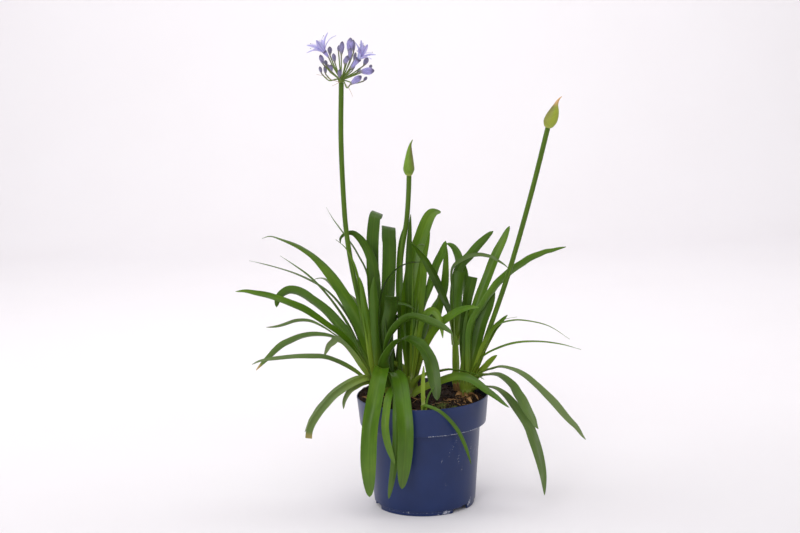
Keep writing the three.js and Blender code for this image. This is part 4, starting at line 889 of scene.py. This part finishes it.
def pot_nodes(colour):
    """Polypropylene, injection moulded with a fine matt grain: deep blue with a soft sheen, dull
    scuffs where pots rub in their stack, and chalky wear on its edges; a painted highlight along the
    foot's seam, and the inside wall darkened by peat dirt and painted shade."""

    def build(tree):
        where = add(tree, COORDINATES, out=3)
        _, soiled_and_shaded, _, wear_and_highlight = look_of(tree)
        cloud = add(tree, NOISE, inputs={"Vector": where, "Scale": 1 / (POT_CLOUD_MM * MM), "Detail": 4.0})
        flecks = add(tree, NOISE, inputs={"Vector": where, "Scale": 1 / (POT_CHIP_MM * MM), "Detail": 3.0,
                                          "Roughness": 0.6})
        grain = add(tree, NOISE, inputs={"Vector": where, "Scale": 1 / (POT_GRAIN_MM * MM), "Detail": 2.0})
        shade = add(tree, RANGE, inputs={"Value": cloud, "From Min": 0.3, "From Max": 0.7,
                                         "To Min": 0.9, "To Max": 1.12})
        # Chalky chips and wear, with a painted highlight along the foot's seam.
        chips_and_highlight = add(tree, MATH, {"operation": "ADD"}, {0: flecks, 1: wear_and_highlight})
        worn_and_highlight = add(tree, RANGE, inputs={"Value": chips_and_highlight, "From Min": 0.76, "From Max": 1.1})
        # The inside wall goes near black: dirt from the peat and painted shade.
        dirt_and_shade = add(tree, RANGE, inputs={"Value": soiled_and_shaded, "To Max": 0.85})
        blue = add(tree, MIX, MULTIPLY, {0: 1.0, 6: colour, 7: shade}, 2)
        for much, tint in ((worn_and_highlight, linear("D2D5E0")), (dirt_and_shade, linear("0F0D0F"))):
            blue = add(tree, MIX, COLOUR, {0: much, 6: blue, 7: tint}, 2)
        rough = add(tree, RANGE, inputs={"Value": cloud, "To Min": 0.26, "To Max": 0.4})
        bump = add(tree, BUMP, inputs={"Strength": 0.12, "Distance": 0.2 * MM, "Height": grain})
        return {"Base Color": blue, "Roughness": rough, "Normal": bump}

    return build


PAPER_CLOUD_M = 0.333


def paper_nodes(tree):
    """Background paper, matt and white, with faint clouds."""
    where = add(tree, COORDINATES, out=3)
    fibre = add(tree, NOISE, inputs={"Vector": where, "Scale": 1 / PAPER_CLOUD_M, "Detail": 3.0})
    colour = add(tree, MIX, COLOUR, {0: fibre, 6: linear("F0ECEF"), 7: linear("F3F0F3")}, 2)
    return {"Base Color": colour}


def leaf_material():
    colour = tuple(bpy.context.scene.agapanthus.leaf_colour) + (1.0,)
    return material("Waxy Agapanthus Leaf", leaf_nodes(colour), IOR=1.42, Specular_IOR_Level=0.3,
                    Subsurface_Weight=0.06, Subsurface_Scale=0.8 * MM)


def dry_material():
    return material("Papery Dry Sheath", dry_nodes, Roughness=0.8)


# ------------------------------------------------------------------ the pieces and the stage


def body_radius(z):
    """The pot's outside radius at a height of its body."""
    return np.interp(z, (FOOT_HEIGHT, SHOULDER), (BODY_FOOT_RADIUS, SHOULDER_RADIUS))


def inner_radius(z):
    """The pot's inside radius at a height."""
    return np.interp(z, (BODY_FOOT + 1, LEDGE_FOOT, LEDGE_TOP, POT_HEIGHT),
                     (BODY_FOOT_RADIUS, SHOULDER_RADIUS, BAND_FOOT_RADIUS, RIM_RADIUS)) - POT_WALL


def pot_profile():
    """The pot's section, from its underside round its rim to its floor: radius, height and zone.

    The zone "drain" is cut by the drain slots, "foot" also by the gaps between the foot ring's arcs, and
    "inside" is darkened, partly by dirt from the peat and partly by painted shade inside the wall.
    """
    rim_inside = RIM_RADIUS - POT_WALL
    profile = [
        (0, 0, ""), (BOSS_RADIUS - 0.6, 0, ""), (BOSS_RADIUS, 0.5, ""), (BOSS_RADIUS + 3, BASE_UNDERSIDE, ""),
        (DRAIN_INSIDE, BASE_UNDERSIDE, ""), (DRAIN_INSIDE + 0.01, BASE_UNDERSIDE, "drain"),
        (FOOT_INSIDE, BASE_UNDERSIDE, "drain"), (FOOT_INSIDE + 0.3, 0.4, "foot"),
        (FOOT_INSIDE + 0.8, 0, "foot"), (FOOT_RADIUS - 0.6, 0, "foot"), (FOOT_RADIUS - 0.1, 0.5, "foot"),
        (FOOT_RADIUS, 1.2, "foot"), (FOOT_RADIUS, 4.0, "foot"), (FOOT_RADIUS + 0.2, FOOT_SEAM, "foot"),
        (FOOT_RADIUS + 0.1, 5.2, "foot"), (FOOT_RADIUS + 0.1, 6.4, "foot"),
        (FOOT_RADIUS + 0.5, FOOT_HEIGHT, "foot"),
        (BODY_FOOT_RADIUS - 0.6, FOOT_HEIGHT, "foot"), (BODY_FOOT_RADIUS - 0.2, FOOT_HEIGHT + 0.3, "foot"),
        (BODY_FOOT_RADIUS, BODY_FOOT, "drain"),
    ]
    profile += [(BODY_FOOT_RADIUS + (SHOULDER_RADIUS - BODY_FOOT_RADIUS) * share,
                 BODY_FOOT + (SHOULDER - 0.6 - BODY_FOOT) * share, "") for share in np.arange(1, 12) / 12]
    profile += [(SHOULDER_RADIUS + out, SHOULDER + up, "") for out, up in (
        (-0.1, -1.2), (0.2, -0.3), (1.0, 0.1))]
    profile += [(BAND_FOOT_RADIUS + out, BAND_FOOT + up, "") for out, up in (
        (-1.2, -0.15), (-0.4, 0), (-0.05, 0.35), (0.05, 0.9), (0.15, 2.0))]
    profile += [(np.interp(z, (BAND_FOOT, POT_HEIGHT), (BAND_FOOT_RADIUS, RIM_RADIUS)), z, "")
                for z in (130, 138, 146, 154, 159)]
    profile += [(RIM_RADIUS + out, POT_HEIGHT + up, "") for out, up in (
        (-0.1, -1.2), (0, -0.6), (-0.3, -0.15), (-0.8, 0))]
    profile += [
        (rim_inside + 0.2, POT_HEIGHT - 0.2, ""), (rim_inside, POT_HEIGHT - 0.7, "inside"),
        (BAND_FOOT_RADIUS - POT_WALL, LEDGE_TOP, "inside"),
        (SHOULDER_RADIUS - POT_WALL, LEDGE_FOOT, "inside"),
        (FOOT_RADIUS - 0.5, INNER_FLOOR + 1, ""), (FOOT_RADIUS - 1.5, INNER_FLOOR, ""), (0, INNER_FLOOR, ""),
    ]
    return profile


def pot_azimuths():
    """The azimuths of the pot's columns, with a close pair at each side of each gap and drain."""
    azimuths = set(np.arange(0, 360, POT_COLUMN_DEG))
    for centre in GAP_CENTRES_DEG:
        for middle, width in ((centre, GAP_WIDTH_DEG), (centre + DRAIN_OFFSET_DEG, DRAIN_WIDTH_DEG)):
            azimuths.update(middle + side * width / 2 + past
                            for side in (-1, 1) for past in (-EDGE_PAIR_DEG, EDGE_PAIR_DEG))
    return sorted({round(azimuth % 360, 3) for azimuth in azimuths})


def cut_height(azimuth, z, zone):
    """A height of the pot's foot, raised to the top of the drain or the gap at its azimuth."""
    for centre in GAP_CENTRES_DEG:
        past = (azimuth - centre + 180) % 360 - 180
        if zone in ("drain", "foot") and abs(past - DRAIN_OFFSET_DEG) < DRAIN_WIDTH_DEG / 2:
            return max(z, DRAIN_TOP)
        if zone == "foot" and abs(past) < GAP_WIDTH_DEG / 2:
            return max(z, GAP_TOP)
    return z


# Worn spots on the pot: azimuth in degrees, height and size in millimetres, and how worn.
WEAR_SPOTS = (
    (-76, 2, 0.8, 0.8), (-70, 2, 0.6, 0.8), (-67, 3, 1.4, 1.0), (-65, 3, 1.2, 1.0), (-62, 3, 1.0, 0.9),
    (-31, 6, 1.6, 0.9), (-110, 5, 0.8, 0.8), (-45, 104, 2.6, 0.26), (-58, 68, 1.4, 0.26),
    (-52, 72, 1.2, 0.26), (-48, 70, 1.0, 0.26), (-76, 57, 1.0, 0.26), (-36, 42, 1.4, 0.25),
)
# Small scuffs: how many, the ranges of their azimuth, height and size, and how worn they are.
SCUFFS = (70, (-72, 5), (15, 116), (0.3, 1.3), 0.3)
SPOT_SOFTNESS = 1.6
# How worn the band's lower edge is, and how strong the painted highlight along the foot's seam is.
BAND_EDGE_WEAR, FOOT_SEAM_HIGHLIGHT = 0.34, 0.3


def pot_wear_and_highlight(points):
    """How worn the pot is at each point, in spots and along the band's lower edge, with a painted highlight
    along the foot's seam.
    """
    rng = random.Random(5)
    count, *ranges, depth = SCUFFS
    spots = [*WEAR_SPOTS, *((*(rng.uniform(*ends) for ends in ranges), depth) for _ in range(count))]
    wear_and_highlight = np.zeros(points.shape[:2])
    for azimuth, z, size, depth in spots:
        away = np.linalg.norm(points - around(body_radius(z), azimuth, z), axis=-1)
        wear_and_highlight = np.maximum(wear_and_highlight, depth * np.exp(-(away / (size + SPOT_SOFTNESS)) ** 2))
    x, y, z = np.moveaxis(points, -1, 0)
    edge = (np.abs(z - BAND_FOOT - 0.5) < 0.6) & (x > 5) & (y < -10)
    # A painted highlight along the foot's seam, on the front only.
    seam = (np.abs(z - FOOT_SEAM) < 0.1) & (y < -20)
    return np.maximum(wear_and_highlight, BAND_EDGE_WEAR * edge + FOOT_SEAM_HIGHLIGHT * seam)


class AGAPANTHUS_OT_pot(bpy.types.Operator):
    """Turn the plastic pot, with its foot ring in three arcs and a drain slot in each gap"""

    bl_idname = "agapanthus.pot"
    bl_label = "Pot"

    def execute(self, context):
        profile, azimuths = pot_profile(), pot_azimuths()
        points = np.array([[around(radius, azimuth, cut_height(azimuth, z, zone)) for azimuth in azimuths]
                           for radius, z, zone in profile])
        # The inside wall above the soil is darkened, partly peat dirt and partly painted shade.
        soiled_and_shaded = np.array([[float(zone == "inside")] * len(azimuths) for _, _, zone in profile])
        blank = np.zeros_like(soiled_and_shaded)
        parts = Parts()
        look = np.stack((blank, soiled_and_shaded, blank, pot_wear_and_highlight(points)), axis=-1)
        parts.skin(points, np.zeros_like(points), look)
        colour = tuple(context.scene.agapanthus.pot_colour) + (1.0,)
        blue = material("Moulded Polypropylene Pot", pot_nodes(colour), IOR=1.49, Specular_IOR_Level=0.38)
        parts.piece("pot_moulding", [blue], "pot", "pot_plastic", sharp_deg=38)
        return {"FINISHED"}


def soil_height(x, y):
    """The height of the soil's surface, with its lumps."""
    mx, my, rise, reach = MOUND
    mound = rise * math.exp(-((x - mx) ** 2 + (y - my) ** 2) / (2 * reach ** 2))
    lumps = sum(high * noise.noise(Vector((x / wide, y / wide, layer))) for high, wide, layer in PEAT_LUMPS)
    return SOIL_LEVEL - SOIL_FALL_TO_RIGHT * x + mound + lumps


def lump(parts, centre, size, rng, sides=7, rings=5):
    """A small uneven crumb."""
    points, place = [], []
    for i in range(rings):
        polar = math.pi * (i + 0.35) / (rings - 0.3)
        ring = []
        for k in range(sides):
            angle = 2 * math.pi * k / sides + 0.4 * i
            radius = size * (0.75 + 0.5 * rng.random())
            ring.append((centre[0] + radius * math.sin(polar) * math.cos(angle),
                         centre[1] + radius * math.sin(polar) * math.sin(angle),
                         centre[2] - CRUMB_FLATNESS * radius * math.cos(polar)))
        points.append(ring)
    seed = rng.random()
    parts.skin(points, [[(0, 0, seed)] * sides] * rings, [[(0, 0, 0, 0)] * sides] * rings)


class AGAPANTHUS_OT_soil(bpy.types.Operator):
    """Fill the pot with crumbly peat, with loose crumbs lying on it"""

    bl_idname = "agapanthus.soil"
    bl_label = "Soil"

    def execute(self, context):
        azimuths = np.arange(0, 360, 1.8)
        foot = INNER_FLOOR + 1
        wall = [(inner_radius(height) - SOIL_GAP, height + above) for height, above in (
            (60, 0), (LEDGE_FOOT, 0.4), (LEDGE_TOP, 0.4), (140, 0))]
        rings = [[around(radius, azimuth, z) for azimuth in azimuths]
                 for radius, z in ((0.5, foot), (68, foot), (70, foot + 1.4), *wall)]
        for radius in np.linspace(1, 0.006, SOIL_RINGS) * (inner_radius(150) - 0.6):
            rings.append([(x, y, soil_height(x, y)) for x, y, _ in (around(radius, a, 0) for a in azimuths)])
        parts = Parts()
        parts.skin(rings, np.zeros((len(rings), len(azimuths), 3)), np.zeros((len(rings), len(azimuths), 4)))
        rng = random.Random(11)
        for _ in range(context.scene.agapanthus.crumbs):
            angle, radius = rng.uniform(0, 2 * math.pi), CRUMBS_REACH * math.sqrt(rng.random())
            x, y = radius * math.cos(angle), radius * math.sin(angle)
            size = np.interp(rng.random() ** 3, (0, 1), CRUMB_SIZES)
            lump(parts, (x, y, soil_height(x, y) + 0.3 * size), size, rng)
        peat = material("Damp Peat Compost", peat_nodes, Roughness=0.95, Specular_IOR_Level=0.25)
        parts.piece("peat_filling", [peat], "soil", "peat", sharp_deg=80)
        return {"FINISHED"}


class AGAPANTHUS_OT_leaves(bpy.types.Operator):
    """Grow each shoot: its sheathing base and its strap leaves"""

    bl_idname = "agapanthus.leaves"
    bl_label = "Leaves"

    def execute(self, context):
        settings = context.scene.agapanthus
        rng = random.Random(3)
        for name, shoot in SHOOTS.items():
            parts = Parts()
            leaf_base(parts, shoot, rng)
            for width, side, tip, look, *path in shoot["leaves"]:
                blade(parts, width, side, tip, look, [root_of(shoot, path[0]), *path],
                      settings.leaf_thickness / MM, settings.leaf_ring / MM, rng)
            parts.piece(name + "_leaves", [leaf_material()], name, "leaf", sharp_deg=75)
        return {"FINISHED"}


class AGAPANTHUS_OT_flower_stems(bpy.types.Operator):
    """Raise the bare round flower stems"""

    bl_idname = "agapanthus.flower_stems"
    bl_label = "Flower Stems"

    def execute(self, context):
        green = material("Smooth Flower Stem", stem_nodes, Roughness=0.42, IOR=1.42, Specular_IOR_Level=0.3)
        for name, path in STEMS.items():
            parts = Parts()
            tube(parts, path, STEM_RADIUS, (0, 0, 0), sides=28, step=6.0)
            parts.piece("stem_" + name, [green], "flower_stem_" + name, "flower_stem", sharp_deg=60)
        return {"FINISHED"}


# Where a flower stalk bends, as shares of the way to its floret: further sideways than up.
STALK_ARC = (0.62, 0.62, 0.55)
# Round the end of the stem, the hub's rings: height and radius.
HUB = ((0, 3.5), (1, 4.2), (3, HUB_RADIUS), (5, 4.0), (6.3, 2.0), (6.6, 0.4))
# A closed floret's and a tepal's width along it, as shares, and an anther's ends and radii.
BUD_SWELL = ((0, 0.3), (0.12, 0.42), (0.3, 0.75), (0.6, 1.0), (0.8, 0.84), (0.93, 0.5), (1, 0.14))
TEPAL_SWELL = ((0, 0.5), (0.35, 0.9), (0.7, 0.86), (0.9, 0.5), (1, 0.12))
ANTHER = ((-0.8, 0.15), (-0.4, 0.36), (0.4, 0.36), (0.8, 0.15))
# The dried threads that hang from under the head.
BRACT_THREADS = (
    ((-3, -3, 1), (-14, -6, 5), (-24, -8, 10), (-34, -9, 13)),
    ((3, -3, 1), (8, -8, -4), (13, -10, -12), (16, -11, -20)),
    ((-2, -4, 1), (-8, -6, -2), (-13, -7, -4)),
)


class AGAPANTHUS_OT_flower_head(bpy.types.Operator):
    """Spread the flower head: its stalks, closed florets and open florets with their stamens"""

    bl_idname = "agapanthus.flower_head"
    bl_label = "Flower Head"

    def execute(self, context):
        self.origin = np.array(STEMS["left"][-1], float) + STEM_END_GAP * UP
        self.rng = random.Random(8)
        stalks, flowers = Parts(), Parts()
        swept(stalks, [(self.origin + UP * z, radius) for z, radius in HUB], 24, (0.5, 0, 0))
        for base, tip, width, tone, droop in BUDS:
            self.stalk(stalks, base, droop)
            self.bud(flowers, base, tip, width, tone)
        for base, mouth, width, tips in OPEN_FLORETS:
            self.stalk(stalks, base, 0)
            self.open_floret(flowers, base, mouth, width, tips)
        tube(flowers, [self.origin + p for p in CURLED_STYLE], 0.75, (0.8, 0, 0), sides=8, step=2.0,
             taper=0.6, slot=1)
        for thread in BRACT_THREADS:
            tube(stalks, [self.origin + p for p in thread], 0.35, (0, 0, 0), sides=5, step=2.0, taper=0.5,
                 slot=1)
        green = material("Olive Flower Stalk", flower_stalk_nodes, Roughness=0.55)
        violet = material("Waxy Violet Floret Bud", bud_nodes, Roughness=0.48, Subsurface_Weight=0.1,
                          Subsurface_Scale=1.0 * MM)
        lavender = material("Satin Lavender Tepal", tepal_nodes, Roughness=0.5, Subsurface_Weight=0.15,
                            Subsurface_Scale=1.0 * MM)
        stalks.piece("flower_stalks", [green, dry_material()], "flower_head", "flower", sharp_deg=60)
        flowers.piece("florets", [violet, lavender], None, "flower", sharp_deg=70)
        return {"FINISHED"}

    def stalk(self, parts, base, droop):
        """One thin stalk from the hub in an arc to a floret's base."""
        middle = 0.6 * HUB_RADIUS * UP
        foot = np.array(base, float)
        outward = HUB_RADIUS * unit(foot - middle)
        arc = foot * STALK_ARC + (2 - droop) * UP
        path = [middle + 0.5 * outward, middle + 1.4 * outward, arc, foot]
        places, _ = even_places([self.origin + p for p in path], 2.0)
        swept(parts, [(p, FLOWER_STALK_RADIUS) for p in places], 8, (0, 0, 0), seed=self.rng.random())

    def bud(self, parts, base, tip, width, tone):
        """One closed floret with six blunt ridges."""
        foot, end = self.origin + base, self.origin + tip
        rings = [(foot + (end - foot) * share, width / 2 * np.interp(share, *zip(*BUD_SWELL)))
                 for share in np.linspace(0, 1, 18)]
        swept(parts, rings, 24, (tone, 0, 0), ribs=6, rib_depth=0.07, seed=self.rng.random())

    def open_floret(self, parts, base, mouth, width, tips):
        """One open floret: its tube, its six curved tepals, and a stamen before each."""
        foot, throat = self.origin + base, self.origin + mouth
        axis = unit(throat - foot)
        rings = [(foot + (throat - foot) * share, max(width / 2 * (0.3 + 0.62 * share), 0.9))
                 for share in np.linspace(0, 1, 8)]
        swept(parts, rings, 24, (1.0, 0, 0), ribs=6, rib_depth=0.06, seed=self.rng.random())
        for tip in tips:
            self.tepal(parts, throat, axis, self.origin + tip)
        for tip in tips:
            reach = self.origin + tip - throat
            end = throat + 0.62 * reach + 7 * axis
            path = [throat - 2 * axis, throat + 0.14 * reach + 10 * axis, end]
            tube(parts, path, STAMEN_RADIUS, (0.8, 0, 0), sides=5, step=2.5, slot=1)
            swept(parts, [(end + axis * along, radius) for along, radius in ANTHER], 6, (0, 0, 0))

    def tepal(self, parts, throat, axis, tip):
        """One tepal: a thin strap that widens, then recurves to a point."""
        reach = tip - throat
        sideways = unit(np.cross(axis, reach))
        places, length = even_places([throat - 2 * axis, throat + 0.5 * reach + 3 * axis, tip], 1.6, least=12)
        columns = np.linspace(-1, 1, 7)
        both = np.concatenate((columns, columns[::-1]))
        seed = self.rng.random()
        rings, place, look = [], [], []
        for i, (at, (along, _, _)) in enumerate(zip(places, frames_along(places, sideways))):
            share = i / (len(places) - 1)
            face = unit(np.cross(along, sideways))
            half = TEPAL_WIDTH / 2 * np.interp(share, *zip(*TEPAL_SWELL))
            top = at + np.outer(columns * half, sideways) + np.outer(0.22 * half * columns ** 2, face)
            rings.append(np.concatenate((top - face * TEPAL_THICKNESS, top[::-1])))
            place.append([(c, share * length, seed) for c in both * half])
            look.append([(share, 1, 0, 0)] * len(both))
        parts.skin(rings, place, look, slot=1)


# A bud sheath's tone, the azimuth in degrees of its brown side, browned by the sun on the right sheath and a
# painted shade on the middle sheath's right side, and how dry its tip is.
SHEATH_LOOKS = {"middle": (0.0, -15.0, 0.0), "right": (0.8, -165.0, 1.0)}
SHEATH_SIDES = 40
SHEATH_SEAM_DEG = 280.75


class AGAPANTHUS_OT_bud_sheaths(bpy.types.Operator):
    """Close the bud sheaths on the other stems"""

    bl_idname = "agapanthus.bud_sheaths"
    bl_label = "Bud Sheaths"

    def execute(self, context):
        leathery = material("Leathery Bud Sheath", sheath_nodes, Roughness=0.45, Specular_IOR_Level=0.3,
                            Subsurface_Weight=0.1, Subsurface_Scale=1.5 * MM)
        for name, rings in SHEATHS.items():
            self.sheath(name, rings, leathery)
        return {"FINISHED"}

    @staticmethod
    def sheath(name, rings, leathery):
        """One sheath on the end of its stem, keeled on both sides, with the seam where it will split."""
        places, _ = even_places(STEMS[name], 4.0)
        line = unit(places[-1] - places[-2])
        turn = np.array(Vector(UP).rotation_difference(Vector(line)).to_matrix())
        foot = places[-1] + line * STEM_END_GAP
        control = [np.array(ring, float) for ring in rings]
        tone, browning_and_shade_deg, dry = SHEATH_LOOKS[name]
        angles = np.arange(SHEATH_SIDES) * 2 * math.pi / SHEATH_SIDES
        keels = 0.07 * np.maximum(np.cos(angles), 0) ** 8 + 0.05 * np.maximum(-np.cos(angles), 0) ** 8
        seam = 0.05 * np.exp(-((angles - math.radians(SHEATH_SEAM_DEG)) / 0.12) ** 2)
        # Brown on one side: sun-browned on the right sheath, a painted shade on the middle sheath's right
        # side.
        browning_and_shade = np.maximum(np.cos(angles - math.radians(browning_and_shade_deg)), 0)
        points, place, look = [], [], []
        for lean, up, wide, deep in (on_curve(control, share) for share in np.linspace(0, 1, 60)):
            share = up / rings[-1][1]
            size = 1 + keels - seam * min(1, 3 * share)
            ring = np.column_stack((lean + wide * size * np.cos(angles), deep * size * np.sin(angles),
                                    np.full(SHEATH_SIDES, up)))
            points.append(ring @ turn.T + foot)
            place.append([(angle * wide, up, 0.3) for angle in angles])
            look.append([(share, tone, brown * min(1, 0.3 + share), dry) for brown in browning_and_shade])
        parts = Parts()
        parts.skin(points, place, look)
        parts.piece("sheath_" + name, [leathery], "bud_" + name, "bud_sheath", sharp_deg=60)


# Dry leaf sheaths round the shoots' feet: width, direction of the width, and path.
DRY_SHEATHS = (
    (6, 10, ((50, 52, 150), (49, 48, 158), (47, 44, 165))),
    (5, 170, ((54, 48, 150), (54, 44, 160), (52, 42, 167))),
    (7, 150, ((66, 22, 150), (71, 10, 157), (76, -2, 159), (80, -14, 154))),
    (6, 60, ((60, 22, 150), (54, 16, 157), (49, 14, 155))),
    (6, 20, ((62, 4, 151), (65, -12, 157), (70, -28, 154))),
    (5, 100, ((60, 20, 149), (62, 10, 157), (66, 2, 156))),
    (8, 20, ((-26, 48, 152), (-24, 44, 166), (-26, 42, 176))),
    (8, 70, ((-38, 32, 158), (-30, 28, 169), (-22, 24, 166), (-16, 20, 156))),
)
# Where straw lies and where moss grows: the place, the spread and how many.
STRAWS = ((50, -10, 26, 18), (60, 15, 16, 12), (-30, -20, 50, 20), (-75, -10, 14, 10))
STRAW_REACH = 86.0
STRAW_LENGTHS = (5, 20)
STRAW_RADII = (0.25, 0.6)
MOSS = ((25, -45, 9, 90), (45, -50, 5, 25), (30, -30, 12, 30))


def strewn(rng, patches):
    """Places strewn over patches, each given by its middle, its spread and how many lie in it."""
    for x, y, spread, count in patches:
        for _ in range(count):
            yield x + rng.gauss(0, spread / 2), y + rng.gauss(0, spread / 2)


class AGAPANTHUS_OT_litter(bpy.types.Operator):
    """Lay straw and dry leaf sheaths on the soil, and grow a little moss"""

    bl_idname = "agapanthus.litter"
    bl_label = "Litter"

    def execute(self, context):
        rng = random.Random(21)
        parts, tufts = Parts(), Parts()
        for x, y in strewn(rng, STRAWS):
            self.straw(parts, rng, x, y)
        for width, side, path in DRY_SHEATHS:
            blade(parts, width, side, "pointed", "plain", path, SHEATH_THICKNESS, 2.5, rng)
        for x, y in strewn(rng, MOSS):
            z = soil_height(x, y)
            aside, ahead = rng.uniform(-1, 1), rng.uniform(-1, 1)
            path = [(x + out * aside, y + out * ahead, z + up)
                    for out, up in ((0, -0.5), (0.5, 1), (1.6, 2.4))]
            tube(tufts, path, 0.55, (0, 0, 0), sides=5, step=1.0, taper=0.3)
        moss = material("Cushion Moss", moss_nodes, Roughness=0.9)
        parts.piece("dry_litter", [dry_material()], None, "leaf", sharp_deg=70)
        tufts.piece("moss", [moss], None, "peat", sharp_deg=80)
        return {"FINISHED"}

    @staticmethod
    def straw(parts, rng, x, y):
        """One fibre of straw on the soil."""
        if math.hypot(x, y) > STRAW_REACH:
            return
        angle, length = rng.uniform(0, math.pi), rng.uniform(*STRAW_LENGTHS)
        points = []
        for t in (-0.5, 0, 0.5):
            px = x + t * length * math.cos(angle) + rng.uniform(-1, 1)
            py = y + t * length * math.sin(angle) + rng.uniform(-1, 1)
            points.append((px, py, soil_height(px, py) + rng.uniform(0.3, 1.6)))
        tube(parts, points, rng.uniform(*STRAW_RADII), (0, 0, 0), sides=5, step=2.0, taper=0.6,
             seed=rng.random())


# The camera, in metres and degrees, and its focal length in the pixels of a picture of that width.
CAMERA_PLACE = (-0.0274, -2.5, 0.799)
CAMERA_TILT_DEG = 10.2
CAMERA_ROLL_DEG = 1.54
CAMERA_FOCAL_PIXELS = 1781
PICTURE_WIDTH_PIXELS = 800

# Soft boxes: name, place, aim, side in metres and power in watts.
LIGHTS = (
    ("key", (-2.4, -0.1, 1.05), (0, 0, 0.25), 2.1, 20.5),
    ("top", (-0.2, -1.4, 2.8), (0, 0.1, 0), 3.0, 38.5),
    ("side", (2.5, 0.0, 1.0), (0, 0, 0.25), 1.9, 10.5),
    ("front", (-0.7, -3.0, 1.35), (0, 0, 0.2), 1.5, 33),
    ("backdrop", (0, 1.0, 2.6), (0, 3.1, 0.8), 2.6, 47.5),
)
WORLD_COLOUR = linear("FFFDFF")
WORLD_STRENGTH = 0.24

# The paper sweep, in metres: where the floor starts and ends, the radius of its curve and its top.
FLOOR_FRONT = -4.0
FLOOR_BACK = 2.2
SWEEP_RADIUS = 0.9
WALL_TOP = 5.0


class AGAPANTHUS_OT_studio(bpy.types.Operator):
    """Set up the white sweep, the soft lights and the camera"""

    bl_idname = "agapanthus.studio"
    bl_label = "Studio"

    def execute(self, context):
        scene = context.scene
        self.sweep(scene.agapanthus.floor_size)
        for light in LIGHTS:
            self.light(scene, *light)
        scene.world = bpy.data.worlds.new("Studio Air")
        scene.world.use_nodes = True
        background = scene.world.node_tree.nodes["Background"]
        background.inputs["Color"].default_value = WORLD_COLOUR
        background.inputs["Strength"].default_value = WORLD_STRENGTH
        scene.view_settings.view_transform = "Standard"
        self.camera(scene)
        return {"FINISHED"}

    @staticmethod
    def sweep(half):
        """A floor that curves up into a backdrop."""
        profile = [(FLOOR_FRONT, 0.0), (FLOOR_BACK, 0.0)]
        profile += [(FLOOR_BACK + SWEEP_RADIUS * math.sin(angle), SWEEP_RADIUS * (1 - math.cos(angle)))
                    for angle in np.linspace(0.08, math.pi / 2, 16)]
        profile += [(FLOOR_BACK + SWEEP_RADIUS, WALL_TOP)]
        points = [(x, y, z) for y, z in profile for x in (-half, half)]
        faces = [(2 * i, 2 * i + 1, 2 * i + 3, 2 * i + 2) for i in range(len(profile) - 1)]
        mesh = bpy.data.meshes.new("paper_sweep")
        mesh.from_pydata(points, [], faces)
        mesh.polygons.foreach_set("use_smooth", [True] * len(faces))
        mesh.materials.append(material("Matt Background Paper", paper_nodes, Roughness=0.9,
                                       Specular_IOR_Level=0.1))
        paper = bpy.data.objects.new("paper_sweep", mesh)
        bpy.context.scene.collection.objects.link(paper)
        paper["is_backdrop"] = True

    @staticmethod
    def light(scene, name, place, aim, size, power):
        """A square soft box aimed at a point."""
        lamp = bpy.data.lights.new(name, "AREA")
        lamp.shape = "SQUARE"
        lamp.size = size
        lamp.energy = power
        holder = bpy.data.objects.new(name, lamp)
        holder.location = place
        holder.rotation_euler = (Vector(aim) - Vector(place)).to_track_quat("-Z", "Y").to_euler()
        scene.collection.objects.link(holder)

    @staticmethod
    def camera(scene):
        """The camera, tipped down and rolled a little."""
        lens = bpy.data.cameras.new("camera")
        lens.lens = lens.sensor_width * CAMERA_FOCAL_PIXELS / PICTURE_WIDTH_PIXELS
        lens.clip_end = 50
        tilt, roll = math.radians(CAMERA_TILT_DEG), math.radians(CAMERA_ROLL_DEG)
        forward = Vector((0, math.cos(tilt), -math.sin(tilt)))
        upright, right = Vector((0, math.sin(tilt), math.cos(tilt))), Vector((1, 0, 0))
        across = right * math.cos(roll) - upright * math.sin(roll)
        up = right * math.sin(roll) + upright * math.cos(roll)
        turn = Matrix((across, up, -forward)).transposed()
        holder = bpy.data.objects.new("camera", lens)
        holder.matrix_world = Matrix.Translation(CAMERA_PLACE) @ turn.to_4x4()
        scene.collection.objects.link(holder)
        scene.camera = holder


class AGAPANTHUS_PT_sidebar(bpy.types.Panel):
    """The plant's pieces and settings"""

    bl_idname = "AGAPANTHUS_PT_sidebar"
    bl_label = "Potted Agapanthus"
    bl_space_type = "VIEW_3D"
    bl_region_type = "UI"
    bl_category = "Agapanthus"

    def draw(self, context):
        settings = context.scene.agapanthus
        for name in settings.bl_rna.properties.keys():
            if name not in ("rna_type", "name"):
                self.layout.prop(settings, name)
        for operator in OPERATORS:
            self.layout.operator(operator.bl_idname)


OPERATORS = (
    AGAPANTHUS_OT_pot, AGAPANTHUS_OT_soil, AGAPANTHUS_OT_leaves, AGAPANTHUS_OT_flower_stems,
    AGAPANTHUS_OT_flower_head, AGAPANTHUS_OT_bud_sheaths, AGAPANTHUS_OT_litter, AGAPANTHUS_OT_studio,
)
CLASSES = (AgapanthusSettings, *OPERATORS, AGAPANTHUS_PT_sidebar)


def register():
    for entry in CLASSES:
        bpy.utils.register_class(entry)
    bpy.types.Scene.agapanthus = bpy.props.PointerProperty(type=AgapanthusSettings)


def unregister():
    del bpy.types.Scene.agapanthus
    for entry in reversed(CLASSES):
        bpy.utils.unregister_class(entry)


def main():
    register()
    bpy.ops.agapanthus.studio()
    bpy.ops.agapanthus.pot()
    bpy.ops.agapanthus.soil()
    bpy.ops.agapanthus.leaves()
    bpy.ops.agapanthus.flower_stems()
    bpy.ops.agapanthus.flower_head()
    bpy.ops.agapanthus.bud_sheaths()
    bpy.ops.agapanthus.litter()
    bpy.context.view_layer.update()
    boxes = {"cad": CAD_BOX, "visual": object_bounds()}
    {key: [list(corner) for corner in box] for key, box in boxes.items()}


if __name__ == "__main__":
    main()
